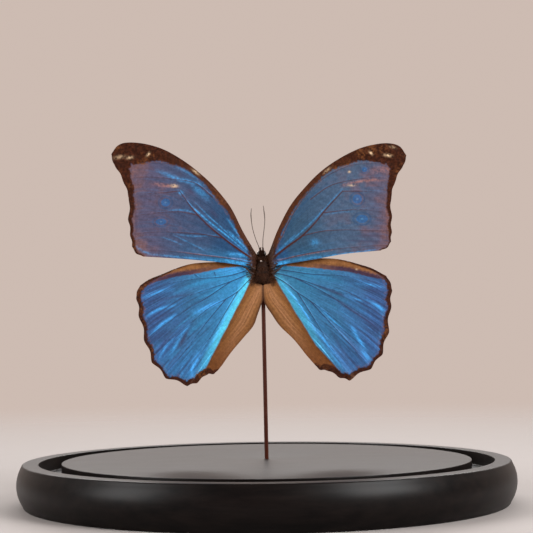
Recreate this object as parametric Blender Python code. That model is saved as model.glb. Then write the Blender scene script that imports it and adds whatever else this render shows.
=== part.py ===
"""A spread blue butterfly on a thin rod, standing on a turned wooden dome base.

Metres, +Z up, the butterfly's upper side facing -Y. The origin is the centre of the base's
underside. The butterfly is drawn around its own centre, the middle of the thorax, in
millimetres: x to the right, y to the back, z up.
"""

import math

import bmesh
import bpy
from mathutils import Vector

MM = 0.001
GAP = 0.3

# The turned base
BASE_RADIUS = 110.0
BASE_HEIGHT = 18.3
SIDE_ARC_RADIUS = 15.0
SIDE_ARC_CENTRE = 9.7
SIDE_ARC_STEPS = 7
EDGE_BREAK = 0.6
GROOVE_OUTER = 100.5
GROOVE_INNER = 90.6
GROOVE_DEPTH = 6.0
SOCKET_DEPTH = 6.0
BASE_SEGMENTS = 96

# The rod, which leans a little to the left
ROD_RADIUS = 0.9
ROD_LEAN = -0.0105
ROD_SIDES = 16

# Where the middle of the thorax is
BODY_CENTRE = Vector((-0.94, -0.6, BASE_HEIGHT + 84.6))

# The body
THORAX_PROFILE = (
    (5.2, 0.0), (5.0, 1.2), (4.0, 2.2), (1.8, 3.2), (-1.4, 4.1),
    (-4.2, 3.9), (-6.0, 3.0), (-7.0, 1.8), (-7.4, 0.0),
)
THORAX_DEPTH_SHARE = 0.95
HEAD_CENTRE = Vector((-0.3, -0.2, 7.2))
HEAD_HALF_SIZE = Vector((2.2, 1.7, 1.6))
BODY_SIDES = 20
HEAD_RINGS = 10
# The pin: its place on the thorax as x and z, and where its head begins, as y
PIN_PLACE = (-0.6, 3.7)
PIN_START = -3.9
PIN_HEAD_RADIUS = 0.5
PIN_HEAD_STEPS = 5
PIN_HEAD_TURN = 0.76 * math.pi
PIN_RADIUS = 0.25
PIN_POINT = 0.4
PIN_SIDES = 12
PIN_DEPTH = 2.6
PIN_BORE_RADIUS = 0.6
PIN_BORE_START = -6.0
PIN_BORE_END = 0.2
# The rod ends inside the thorax, this far below the body's centre
ROD_REACH = 3.8
ROD_BORE_START = 10.0

# The wings: sheets with a curved outline and a scalloped outer margin
WING_THICKNESS = 0.4
STEPS_PER_SCALLOP = 3
STEPS_ALONG_WING = 12
CURVE_STEPS = 16
FOREWING_SCALLOP = 0.07
HINDWING_SCALLOP = 0.09
FOREWING_DEPTH = -2.4
FOREWING_RISE = 0.06
HINDWING_DEPTH = -1.4
HINDWING_RISE = 0.03
FOLD_BACK = 0.5
FOLD_BACK_LOW = 3.0
FOLD_LOW_START = -16.0
FOLD_LOW_LENGTH = 18.0

FOREWING_LEFT = {
    "root": ((-2.9, 7.4), (-4.2, 0.2)),
    "front": (
        (-2.9, 7.4), (-8.5, 17.2), (-14.0, 28.3), (-21.2, 37.6), (-28.5, 44.6), (-35.8, 50.2),
        (-44.0, 54.9), (-52.3, 57.5), (-60.0, 58.2), (-64.6, 56.9), (-67.6, 53.0),
    ),
    "tips": (
        (-67.6, 53.0), (-65.8, 47.1), (-62.2, 40.2), (-59.9, 33.1), (-60.2, 23.3),
        (-59.3, 16.0), (-58.2, 10.6), (-54.9, 6.8),
    ),
    "back": ((-4.2, 0.2), (-6.9, 1.6), (-17.9, 3.4), (-35.4, 5.3), (-54.9, 6.8)),
}
FOREWING_RIGHT = {
    "root": ((2.9, 7.4), (4.2, 0.4)),
    "front": (
        (2.9, 7.4), (7.1, 17.9), (12.7, 28.5), (19.3, 36.7), (26.7, 44.0), (35.1, 49.8),
        (44.3, 54.3), (52.0, 56.2), (58.0, 56.5), (62.6, 55.0), (65.5, 50.9),
    ),
    "tips": (
        (65.5, 50.9), (63.7, 45.6), (60.2, 38.7), (58.5, 32.5), (58.6, 23.2),
        (58.4, 16.1), (57.3, 11.2), (54.4, 8.1),
    ),
    "back": ((4.2, 0.4), (9.7, 2.3), (23.5, 4.4), (37.3, 6.7), (54.4, 8.1)),
}
HINDWING_LEFT = {
    "root": ((-4.6, 1.6), (-4.8, -2.2), (-3.9, -5.8), (-1.3, -8.4)),
    "front": (
        (-4.6, 1.6), (-10.0, 4.2), (-18.1, 3.8), (-27.7, 3.5), (-33.5, 2.7), (-39.3, 0.9),
        (-45.2, -1.5), (-51.0, -3.8), (-55.1, -6.5),
    ),
    "tips": (
        (-55.1, -6.5), (-56.9, -12.1), (-55.8, -20.2), (-53.4, -31.3), (-50.0, -41.1),
        (-43.8, -48.3), (-34.3, -51.8), (-29.8, -50.5), (-24.6, -46.4), (-20.8, -45.3),
    ),
    "back": (
        (-1.3, -8.4), (-0.4, -15.0), (-2.1, -19.7), (-4.4, -25.2), (-9.1, -30.7),
        (-14.5, -37.0), (-18.7, -42.8), (-20.8, -45.3),
    ),
}
HINDWING_RIGHT = {
    "root": ((4.6, 1.6), (4.8, -2.2), (3.9, -5.8), (0.9, -8.4)),
    "front": (
        (4.6, 1.6), (10.0, 4.0), (18.0, 4.9), (25.6, 4.9), (32.6, 4.6), (38.4, 3.5),
        (43.8, 1.9), (49.2, 0.1), (55.6, -3.4),
    ),
    "tips": (
        (55.6, -3.4), (58.2, -9.9), (57.7, -17.3), (56.5, -28.7), (53.4, -38.6),
        (48.1, -45.1), (38.5, -50.2), (34.0, -48.9), (27.6, -45.3), (23.6, -43.6),
    ),
    "back": (
        (0.9, -8.4), (1.4, -15.0), (3.9, -19.8), (7.5, -25.3), (14.0, -31.8),
        (19.3, -38.6), (23.6, -43.6),
    ),
}
# Where the inner part of each hindwing begins to fold back: along z, the fold's x
FOLD_LEFT = ((-6.5, -6.7), (-25.8, -43.8))
FOLD_RIGHT = ((6.3, -5.0), (36.7, -48.6))

# The feelers and the legs: centre lines and half-thicknesses
ANTENNA_RADIUS = 0.2
ANTENNAE = {
    "antenna_left": ((-1.1, -0.4, 9.4), (-3.0, -0.6, 14.3), (-4.3, -0.8, 19.0),
                     (-4.9, -0.9, 24.4), (-4.7, -0.9, 27.9)),
    "antenna_right": ((0.4, -0.4, 9.4), (0.4, -0.6, 14.0), (0.9, -0.8, 18.0),
                      (1.3, -0.9, 23.0), (0.7, -0.9, 29.1)),
}
PALP_RADII = (0.5, 0.45, 0.15)
PALPS = {
    "palp_left": ((-0.9, -1.6, 8.9), (-0.95, -1.6, 9.6), (-0.75, -1.5, 10.3)),
    "palp_right": ((0.35, -1.6, 8.9), (0.4, -1.6, 9.6), (0.2, -1.5, 10.3)),
}
LEG_RADII = (0.45, 0.4, 0.28, 0.2)
LEG_MID = ((1.5, 4.4, 0.6), (3.7, 5.6, 2.4), (2.3, 6.2, -2.4), (1.5, 5.8, -7.4))
LEG_HIND = ((1.4, 4.4, -2.6), (3.5, 5.4, -4.3), (2.1, 5.8, -9.2), (1.2, 5.2, -14.2))
TUBE_STEPS = 10


def clear_scene():
    """Takes away whatever the scene holds."""
    for thing in list(bpy.data.objects):
        bpy.data.objects.remove(thing)


def material(name, colour, roughness, metallic=0.0):
    made = bpy.data.materials.new(name)
    made.use_nodes = True
    shader = made.node_tree.nodes["Principled BSDF"]
    shader.inputs["Base Color"].default_value = (*colour, 1.0)
    shader.inputs["Roughness"].default_value = roughness
    shader.inputs["Metallic"].default_value = metallic
    return made


def add_mesh(name, bm, finish, smooth_under=40):
    """Makes an object of a bmesh drawn in millimetres, smooth but for edges past an angle."""
    bmesh.ops.scale(bm, vec=(MM, MM, MM), verts=bm.verts)
    mesh = bpy.data.meshes.new(name)
    bm.to_mesh(mesh)
    bm.free()
    if finish is not None:
        mesh.materials.append(finish)
    mesh.shade_smooth()
    mesh.set_sharp_from_angle(angle=math.radians(smooth_under))
    made = bpy.data.objects.new(name, mesh)
    bpy.context.collection.objects.link(made)
    return made


def turned(profile, sides):
    """Spins a profile of (height, radius) points, whose ends are on the axis, once round Z."""
    bm = bmesh.new()
    points = [bm.verts.new((radius, 0.0, height)) for height, radius in profile]
    edges = [bm.edges.new(pair) for pair in zip(points, points[1:])]
    bmesh.ops.spin(
        bm, geom=points + edges, cent=(0, 0, 0), axis=(0, 0, 1),
        angle=2 * math.pi, steps=sides, use_merge=True,
    )
    bmesh.ops.remove_doubles(bm, verts=bm.verts, dist=0.001)
    bmesh.ops.recalc_face_normals(bm, faces=bm.faces)
    return bm


def smooth_curve(points, count):
    """Count + 1 points, evenly spaced along a Catmull-Rom curve through the given points."""
    known = [Vector(p) for p in points]
    if len(known) == 2:
        return [known[0].lerp(known[1], i / count) for i in range(count + 1)]
    ends = [2 * known[0] - known[1], *known, 2 * known[-1] - known[-2]]
    fine = []
    for a, b, c, d in zip(ends, ends[1:], ends[2:], ends[3:]):
        for step in range(CURVE_STEPS):
            t = step / CURVE_STEPS
            fine.append(0.5 * (
                2 * b + (c - a) * t + (2 * a - 5 * b + 4 * c - d) * t ** 2
                + (3 * b - a - 3 * c + d) * t ** 3
            ))
    fine.append(known[-1])
    lengths = [0.0]
    for a, b in zip(fine, fine[1:]):
        lengths.append(lengths[-1] + (b - a).length)
    found, place = [], 0
    for i in range(count + 1):
        wanted = lengths[-1] * i / count
        while place < len(fine) - 2 and lengths[place + 1] < wanted:
            place += 1
        part = (wanted - lengths[place]) / (lengths[place + 1] - lengths[place])
        found.append(fine[place].lerp(fine[place + 1], part))
    return found


def scalloped(tips, depth_share, middle):
    """The outer margin: between vein tips it is hollowed towards the wing's middle."""
    found = []
    for a, b in zip(tips, tips[1:]):
        start, end = Vector(a), Vector(b)
        chord = end - start
        inward = Vector((-chord.y, chord.x)).normalized()
        if inward.dot(middle - start) < 0:
            inward = -inward
        for step in range(STEPS_PER_SCALLOP):
            t = step / STEPS_PER_SCALLOP
            hollow = depth_share * chord.length * math.sin(math.pi * t) ** 2
            found.append(start.lerp(end, t) + inward * hollow)
    found.append(Vector(tips[-1]))
    return found


def sheet_points(wing, depth_share):
    """Rows of points from the root to the margin, blended between the wing's four edges."""
    middle = sum((Vector(p) for p in wing["tips"] + wing["root"]), Vector((0, 0)))
    middle /= len(wing["tips"] + wing["root"])
    margin = scalloped(wing["tips"], depth_share, middle)
    across = len(margin) - 1
    along = STEPS_ALONG_WING
    root = smooth_curve(wing["root"], across)
    front = smooth_curve(wing["front"], along)
    back = smooth_curve(wing["back"], along)
    rows = []
    for j in range(along + 1):
        v = j / along
        row = []
        for i in range(across + 1):
            u = i / across
            sides = front[j] * (1 - u) + back[j] * u
            ends = root[i] * (1 - v) + margin[i] * v
            corners = (
                root[0] * (1 - u) * (1 - v) + root[-1] * u * (1 - v)
                + margin[0] * (1 - u) * v + margin[-1] * u * v
            )
            row.append(sides + ends - corners)
        rows.append(row)
    return rows


def forewing_depth(x, z):
    """The forewings rise towards the viewer, tip first, whatever the height z."""
    return FOREWING_DEPTH - FOREWING_RISE * abs(x)


def hindwing_depth(x, z, fold):
    """The hindwings rise less, and turn back inside the fold line, more so further down."""
    (x_top, z_top), (x_low, z_low) = fold
    fold_x = x_top + (x_low - x_top) * (z - z_top) / (z_low - z_top)
    inside = min(max((abs(fold_x) - abs(x)) / max(abs(fold_x), 1.0), 0.0), 1.0)
    lowness = min(max((FOLD_LOW_START - z) / FOLD_LOW_LENGTH, 0.0), 1.0)
    back = (FOLD_BACK + FOLD_BACK_LOW * lowness) * inside ** 2
    return HINDWING_DEPTH - HINDWING_RISE * abs(x) + back


def wing(name, outline, depth_share, depth_at, finish):
    """A wing as a sheet with a thickness."""
    bm = bmesh.new()
    rows = [
        [bm.verts.new(BODY_CENTRE + Vector((p.x, depth_at(p.x, p.y), p.y))) for p in row]
        for row in sheet_points(outline, depth_share)
    ]
    for near, far in zip(rows, rows[1:]):
        for i in range(len(near) - 1):
            bm.faces.new((near[i], near[i + 1], far[i + 1], far[i]))
    bmesh.ops.recalc_face_normals(bm, faces=bm.faces)
    made = add_mesh(name, bm, finish)
    body = made.modifiers.new("Thickness", "SOLIDIFY")
    body.thickness = WING_THICKNESS * MM
    body.offset = 0.0
    body.use_even_offset = False
    return made


def tube(name, centre_line, radii, finish, sides=2):
    """A thin tapered limb along a smooth line, with closed ends."""
    line = bpy.data.curves.new(name, "CURVE")
    line.dimensions = "3D"
    line.bevel_depth = MM
    line.bevel_resolution = sides
    line.use_fill_caps = True
    points = smooth_curve(centre_line, TUBE_STEPS)
    spline = line.splines.new("POLY")
    spline.points.add(len(points) - 1)
    for i, (spot, place) in enumerate(zip(spline.points, points)):
        share = i / TUBE_STEPS * (len(radii) - 1)
        low = min(int(share), len(radii) - 2)
        spot.co = (*((BODY_CENTRE + place) * MM), 1.0)
        spot.radius = radii[low] + (radii[low + 1] - radii[low]) * (share - low)
    line.materials.append(finish)
    made = bpy.data.objects.new(name, line)
    bpy.context.collection.objects.link(made)
    return made


def cutter(name, start, end, radius):
    """A round bar that bores a hole, and is not part of the object."""
    bm = bmesh.new()
    bmesh.ops.create_cone(
        bm, cap_ends=True, segments=ROD_SIDES, radius1=radius, radius2=radius,
        depth=(end - start).length,
    )
    turn = (end - start).to_track_quat("Z", "Y").to_matrix()
    bmesh.ops.rotate(bm, cent=(0, 0, 0), matrix=turn, verts=bm.verts)
    bmesh.ops.translate(bm, vec=(start + end) / 2, verts=bm.verts)
    made = add_mesh(name, bm, None)
    made.hide_render = True
    made.display_type = "WIRE"
    return made


def bore(thing, tool):
    cut = thing.modifiers.new(tool.name, "BOOLEAN")
    cut.operation = "DIFFERENCE"
    cut.solver = "EXACT"
    cut.object = tool


def base(finish):
    """One turned disc: bullnose side, flat rim, dome groove, plateau and rod socket."""
    floor = BASE_HEIGHT - GROOVE_DEPTH
    socket = ROD_RADIUS + GAP
    profile = [(0.0, 0.0)]
    low = math.asin((EDGE_BREAK - SIDE_ARC_CENTRE) / SIDE_ARC_RADIUS)
    high = math.asin((BASE_HEIGHT - EDGE_BREAK - SIDE_ARC_CENTRE) / SIDE_ARC_RADIUS)
    arc = []
    for step in range(SIDE_ARC_STEPS + 1):
        angle = low + (high - low) * step / SIDE_ARC_STEPS
        height = SIDE_ARC_CENTRE + SIDE_ARC_RADIUS * math.sin(angle)
        arc.append((height, BASE_RADIUS - SIDE_ARC_RADIUS * (1 - math.cos(angle))))
    profile.append((0.0, arc[0][1] - EDGE_BREAK))
    profile += arc
    profile += [
        (BASE_HEIGHT, arc[-1][1] - EDGE_BREAK),
        (BASE_HEIGHT, GROOVE_OUTER + EDGE_BREAK / 2),
        (BASE_HEIGHT - EDGE_BREAK / 2, GROOVE_OUTER),
        (floor, GROOVE_OUTER),
        (floor, GROOVE_INNER),
        (BASE_HEIGHT - EDGE_BREAK / 2, GROOVE_INNER),
        (BASE_HEIGHT, GROOVE_INNER - EDGE_BREAK / 2),
        (BASE_HEIGHT, socket),
        (BASE_HEIGHT - SOCKET_DEPTH, socket),
        (BASE_HEIGHT - SOCKET_DEPTH, 0.0),
    ]
    return add_mesh("base", turned(profile, BASE_SEGMENTS), finish)


def rod_place(z):
    """The middle of the leaning rod at a height."""
    return Vector((ROD_LEAN * (z - BASE_HEIGHT), 0.0, z))


def rod(finish):
    foot = rod_place(BASE_HEIGHT - SOCKET_DEPTH + GAP)
    top = rod_place(BODY_CENTRE.z - ROD_REACH)
    bm = bmesh.new()
    bmesh.ops.create_cone(
        bm, cap_ends=True, segments=ROD_SIDES, radius1=ROD_RADIUS, radius2=ROD_RADIUS,
        depth=(top - foot).length,
    )
    turn = (top - foot).to_track_quat("Z", "Y").to_matrix()
    bmesh.ops.rotate(bm, cent=(0, 0, 0), matrix=turn, verts=bm.verts)
    bmesh.ops.translate(bm, vec=(foot + top) / 2, verts=bm.verts)
    return add_mesh("rod", bm, finish)


def thorax(finish):
    """A furry egg, bored from below for the rod and from the front for the pin."""
    bm = turned(THORAX_PROFILE, BODY_SIDES)
    bmesh.ops.scale(bm, vec=(1.0, THORAX_DEPTH_SHARE, 1.0), verts=bm.verts)
    bmesh.ops.translate(bm, vec=BODY_CENTRE, verts=bm.verts)
    made = add_mesh("thorax", bm, finish)
    for_rod = cutter(
        "rod_bore", rod_place(BODY_CENTRE.z - ROD_BORE_START),
        rod_place(BODY_CENTRE.z - ROD_REACH + 2 * GAP), ROD_RADIUS + GAP,
    )
    for_pin = cutter(
        "pin_bore", pin_place(PIN_BORE_START), pin_place(PIN_BORE_END), PIN_BORE_RADIUS,
    )
    bore(made, for_rod)
    bore(made, for_pin)
    return made


def pin_place(y):
    """A point on the pin's axis."""
    return BODY_CENTRE + Vector((PIN_PLACE[0], y, PIN_PLACE[1]))


def pin(finish):
    """A short insect pin: a shaft and a round head, turned in one, pointing back."""
    profile = [(0.0, 0.0)]
    for step in range(1, PIN_HEAD_STEPS + 1):
        angle = PIN_HEAD_TURN * step / PIN_HEAD_STEPS
        ahead = PIN_HEAD_RADIUS * (1 - math.cos(angle))
        profile.append((ahead, PIN_HEAD_RADIUS * math.sin(angle)))
    neck = 2 * PIN_HEAD_RADIUS
    tip = neck + PIN_DEPTH + PIN_POINT
    profile += [(neck, PIN_RADIUS), (neck + PIN_DEPTH, PIN_RADIUS), (tip, 0.0)]
    bm = turned(profile, PIN_SIDES)
    turn = Vector((0, 1, 0)).to_track_quat("Z", "Y").to_matrix()
    bmesh.ops.rotate(bm, cent=(0, 0, 0), matrix=turn, verts=bm.verts)
    bmesh.ops.translate(bm, vec=pin_place(PIN_START), verts=bm.verts)
    return add_mesh("pin", bm, finish)


def head(finish):
    bm = bmesh.new()
    bmesh.ops.create_uvsphere(bm, u_segments=BODY_SIDES, v_segments=HEAD_RINGS, radius=1.0)
    bmesh.ops.scale(bm, vec=HEAD_HALF_SIZE, verts=bm.verts)
    bmesh.ops.translate(bm, vec=BODY_CENTRE + HEAD_CENTRE, verts=bm.verts)
    return add_mesh("head", bm, finish)


def main():
    clear_scene()
    wood = material("stained_wood", (0.012, 0.010, 0.010), 0.35)
    rod_finish = material("rod_lacquer", (0.045, 0.018, 0.012), 0.4, 0.6)
    pin_metal = material("pin_metal", (0.6, 0.58, 0.55), 0.3, 1.0)
    fur = material("body_fur", (0.03, 0.018, 0.012), 0.9)
    feeler = material("feeler_skin", (0.09, 0.06, 0.045), 0.6)
    fore_scales = material("forewing_scales", (0.06, 0.14, 0.33), 0.4, 0.4)
    hind_scales = material("hindwing_scales", (0.03, 0.25, 0.50), 0.4, 0.4)
    base(wood)
    rod(rod_finish)
    thorax(fur)
    head(fur)
    pin(pin_metal)
    wing("forewing_left", FOREWING_LEFT, FOREWING_SCALLOP, forewing_depth, fore_scales)
    wing("forewing_right", FOREWING_RIGHT, FOREWING_SCALLOP, forewing_depth, fore_scales)
    for name, outline, fold in (
        ("hindwing_left", HINDWING_LEFT, FOLD_LEFT),
        ("hindwing_right", HINDWING_RIGHT, FOLD_RIGHT),
    ):
        wing(
            name, outline, HINDWING_SCALLOP,
            lambda x, z, fold=fold: hindwing_depth(x, z, fold), hind_scales,
        )
    for name, line in ANTENNAE.items():
        tube(name, line, (ANTENNA_RADIUS, ANTENNA_RADIUS, 1.4 * ANTENNA_RADIUS), feeler)
    for name, line in PALPS.items():
        tube(name, line, PALP_RADII, fur)
    for side, turn in (("left", -1), ("right", 1)):
        for pair, line in (("mid", LEG_MID), ("hind", LEG_HIND)):
            placed = [(turn * x, y, z) for x, y, z in line]
            tube(f"leg_{pair}_{side}", placed, LEG_RADII, feeler)


main()
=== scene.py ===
"""The looks of a spread blue butterfly on a thin rod over a turned wooden dome base.

Run as a script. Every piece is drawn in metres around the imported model, whose +Z is up and
whose front, the side that the butterfly's upper wings face, is -Y. The butterfly's own
outlines are in millimetres around the middle of its thorax: x to the right and z up.
"""

import math

import bpy
import numpy as np
from bpy.props import (
    FloatProperty, FloatVectorProperty, IntProperty, PointerProperty,
)
from mathutils import Matrix, Vector


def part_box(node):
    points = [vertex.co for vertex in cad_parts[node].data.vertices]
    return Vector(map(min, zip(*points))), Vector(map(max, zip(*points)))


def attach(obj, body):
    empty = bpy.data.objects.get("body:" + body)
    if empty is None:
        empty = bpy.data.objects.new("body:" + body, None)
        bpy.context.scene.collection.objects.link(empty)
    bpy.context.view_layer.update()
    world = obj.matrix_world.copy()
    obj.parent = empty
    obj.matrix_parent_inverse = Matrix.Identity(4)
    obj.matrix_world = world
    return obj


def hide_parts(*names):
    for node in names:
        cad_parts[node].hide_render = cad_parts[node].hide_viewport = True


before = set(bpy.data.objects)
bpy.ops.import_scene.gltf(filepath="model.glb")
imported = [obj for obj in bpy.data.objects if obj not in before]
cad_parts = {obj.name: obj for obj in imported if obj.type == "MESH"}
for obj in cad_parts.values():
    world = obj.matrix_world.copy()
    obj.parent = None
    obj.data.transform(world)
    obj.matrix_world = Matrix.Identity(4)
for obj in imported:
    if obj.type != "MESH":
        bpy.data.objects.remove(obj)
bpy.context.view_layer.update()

bl_info = {
    "name": "Mounted Butterfly",
    "version": (1, 0, 0),
    "blender": (4, 5, 0),
    "location": "View3D > Sidebar > Butterfly",
    "description": "Builds a spread blue butterfly on its rod and turned dome base",
    "category": "Object",
}

MM = 0.001

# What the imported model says: where the base ends and where the butterfly is
BASE_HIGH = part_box("base")[1]
THORAX_LOW, THORAX_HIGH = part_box("thorax")
ROD_LOW, ROD_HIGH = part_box("rod")
PIN_LOW, PIN_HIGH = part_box("pin")
THORAX_TOP, THORAX_LENGTH = 5.2, 12.2
BODY = Vector((
    (THORAX_LOW.x + THORAX_HIGH.x) / 2,
    (THORAX_LOW.y + THORAX_HIGH.y) / 2,
    THORAX_HIGH.z - THORAX_TOP * MM,
))

# The outline, veins and marks of each wing, in millimetres around the thorax. The tips are
# where veins end on the outer margin, and the border's widths are spread evenly along its
# edge. An ocellus is (x, z, radius, stretch across). Three kinds of soft strokes are each
# (strength, half-width, line): the bright ones are painted highlights where the blue scales
# catch the light, the others are dusky and warm marks. A painted glint, a small gold painted
# highlight, is (x, z, strength, half-length, half-width, turn in degrees). A share of painted
# light says how lit each wing is painted: the left wings fully, the right ones partly in
# painted shade.
FOREWING_LEFT = {
    "root": ((-1.4, 6.6), (-2.2, 0.8)),
    "front": (
        (-1.4, 6.6), (-2.9, 7.5), (-8.5, 17.2), (-14.0, 28.3), (-21.2, 37.6), (-28.5, 44.6),
        (-35.8, 50.2), (-44.0, 54.9), (-52.3, 57.5), (-60.0, 58.2), (-64.6, 56.9), (-67.6, 53.0),
    ),
    "tips": (
        (-67.6, 53.0), (-65.8, 47.1), (-62.2, 40.2), (-59.9, 33.1), (-60.2, 23.3),
        (-59.3, 16.0), (-58.4, 10.8), (-53.6, 6.5),
    ),
    "back": ((-2.2, 0.8), (-6.9, 1.7), (-17.9, 3.4), (-35.4, 5.2), (-53.6, 6.5)),
    "border_front": (2.3, 2.3, 2.3, 2.4, 2.6, 5.8, 10.0, 10.5),
    "border_margin": (8.0, 5.4, 3.9, 2.7, 1.9, 1.5, 1.2, 0.5),
    "stem": ((-4.0, 4.6), (-11.0, 9.5), (-17.5, 14.5), (-24.5, 20.5), (-31.0, 27.5), (-37.0, 36.0)),
    "veins": (
        ((-3.6, 6.2), (-8.0, 14.0), (-13.6, 24.5), (-20.5, 34.0), (-28.0, 41.6), (-38.0, 47.5),
         (-48.0, 48.9), (-61.5, 48.5)),
        ((-22.0, 33.0), (-30.0, 39.5), (-40.5, 41.4), (-50.5, 42.5), (-60.5, 41.8)),
        ((-37.0, 36.0), (-42.0, 35.4), (-48.0, 35.0), (-59.0, 34.6)),
        ((-28.5, 24.8), (-37.0, 26.5), (-48.0, 26.0), (-59.5, 24.6)),
        ((-17.5, 14.5), (-28.0, 16.4), (-39.5, 17.3), (-48.5, 17.5), (-58.8, 16.6)),
        ((-4.2, 3.0), (-15.0, 5.2), (-28.0, 7.0), (-38.5, 8.5), (-50.5, 9.5), (-57.0, 9.6)),
    ),
    "painted_lit_share": 1.0,
    "ocelli": ((-43.3, 30.8, 3.1, 1.1), (-45.4, 22.1, 2.4, 1.7)),
    "painted_highlights": (
        (0.55, 0.9, ((-25.6, 38.4), (-30.1, 39.6), (-37.6, 41.4), (-42.1, 43.3), (-47.0, 45.2))),
        (0.5, 0.6, ((-28.6, 41.2), (-33.0, 44.4), (-38.3, 47.1))),
        (0.5, 1.2, ((-24.0, 32.0), (-27.6, 35.4), (-31.5, 38.5))),
        (0.9, 0.8, ((-35.6, 34.6), (-37.4, 36.0))),
        (0.95, 0.32, ((-6.6, 7.6), (-15.1, 14.9), (-22.6, 20.9), (-28.6, 26.2), (-35.3, 33.0))),
        (0.6, 0.25, ((-8.0, 9.9), (-16.0, 17.2), (-23.0, 23.6), (-30.0, 30.6))),
        (0.8, 0.5, ((-5.6, 9.0), (-8.6, 12.9), (-12.0, 18.0), (-15.5, 23.0))),
        (0.9, 0.5, ((-5.2, 7.6), (-10.5, 13.0), (-15.5, 17.8))),
        (1.0, 1.3, ((-3.6, 3.3), (-9.0, 3.3), (-17.0, 4.3))),
        (0.8, 0.9, ((-4.0, 5.0), (-9.0, 6.6), (-16.0, 7.6))),
        (0.5, 0.5, ((-14.0, 3.6), (-28.0, 5.2), (-40.0, 6.4), (-52.0, 7.6))),
        (0.45, 0.35, ((-29.0, 25.6), (-35.0, 27.3), (-42.0, 27.2))),
        (0.45, 0.3, ((-20.0, 15.9), (-30.0, 15.4), (-38.0, 16.3))),
        (0.4, 0.3, ((-25.0, 8.6), (-33.0, 12.6), (-40.0, 16.2))),
        (0.4, 0.3, ((-36.0, 11.5), (-40.0, 13.4), (-45.0, 15.2))),
        (0.5, 0.5, ((-50.0, 7.6), (-54.0, 9.0), (-57.0, 11.4))),
    ),
    "dusks": (
        (0.6, 1.0, ((-33.5, 37.0), (-30.5, 34.6))), (0.5, 1.0, ((-23.5, 27.4), (-20.0, 23.8))),
        (0.5, 0.35, ((-57.5, 12.0), (-56.6, 20.0), (-57.0, 30.0), (-58.0, 38.0))),
    ),
    "blushes": (
        (0.7, 0.8, ((-49.0, 39.4), (-44.0, 38.6), (-38.5, 38.0))),
        (0.6, 1.3, ((-58.8, 30.0), (-60.0, 38.0), (-62.5, 45.0))),
        (0.5, 0.27, ((-5.4, 4.5), (-17.0, 5.7), (-28.6, 7.2), (-38.0, 8.6))),
    ),
    "painted_glints": (
        (-51.0, 52.8, 1.0, 1.0, 0.45, 50.0), (-59.3, 51.3, 0.6, 1.4, 0.6, 5.0),
        (-64.0, 51.6, 0.4, 2.2, 0.7, 8.0), (-29.6, 44.4, 0.6, 1.7, 0.5, -38.0),
        (-39.4, 38.3, 0.8, 1.5, 0.7, -5.0),
    ),
}
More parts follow.
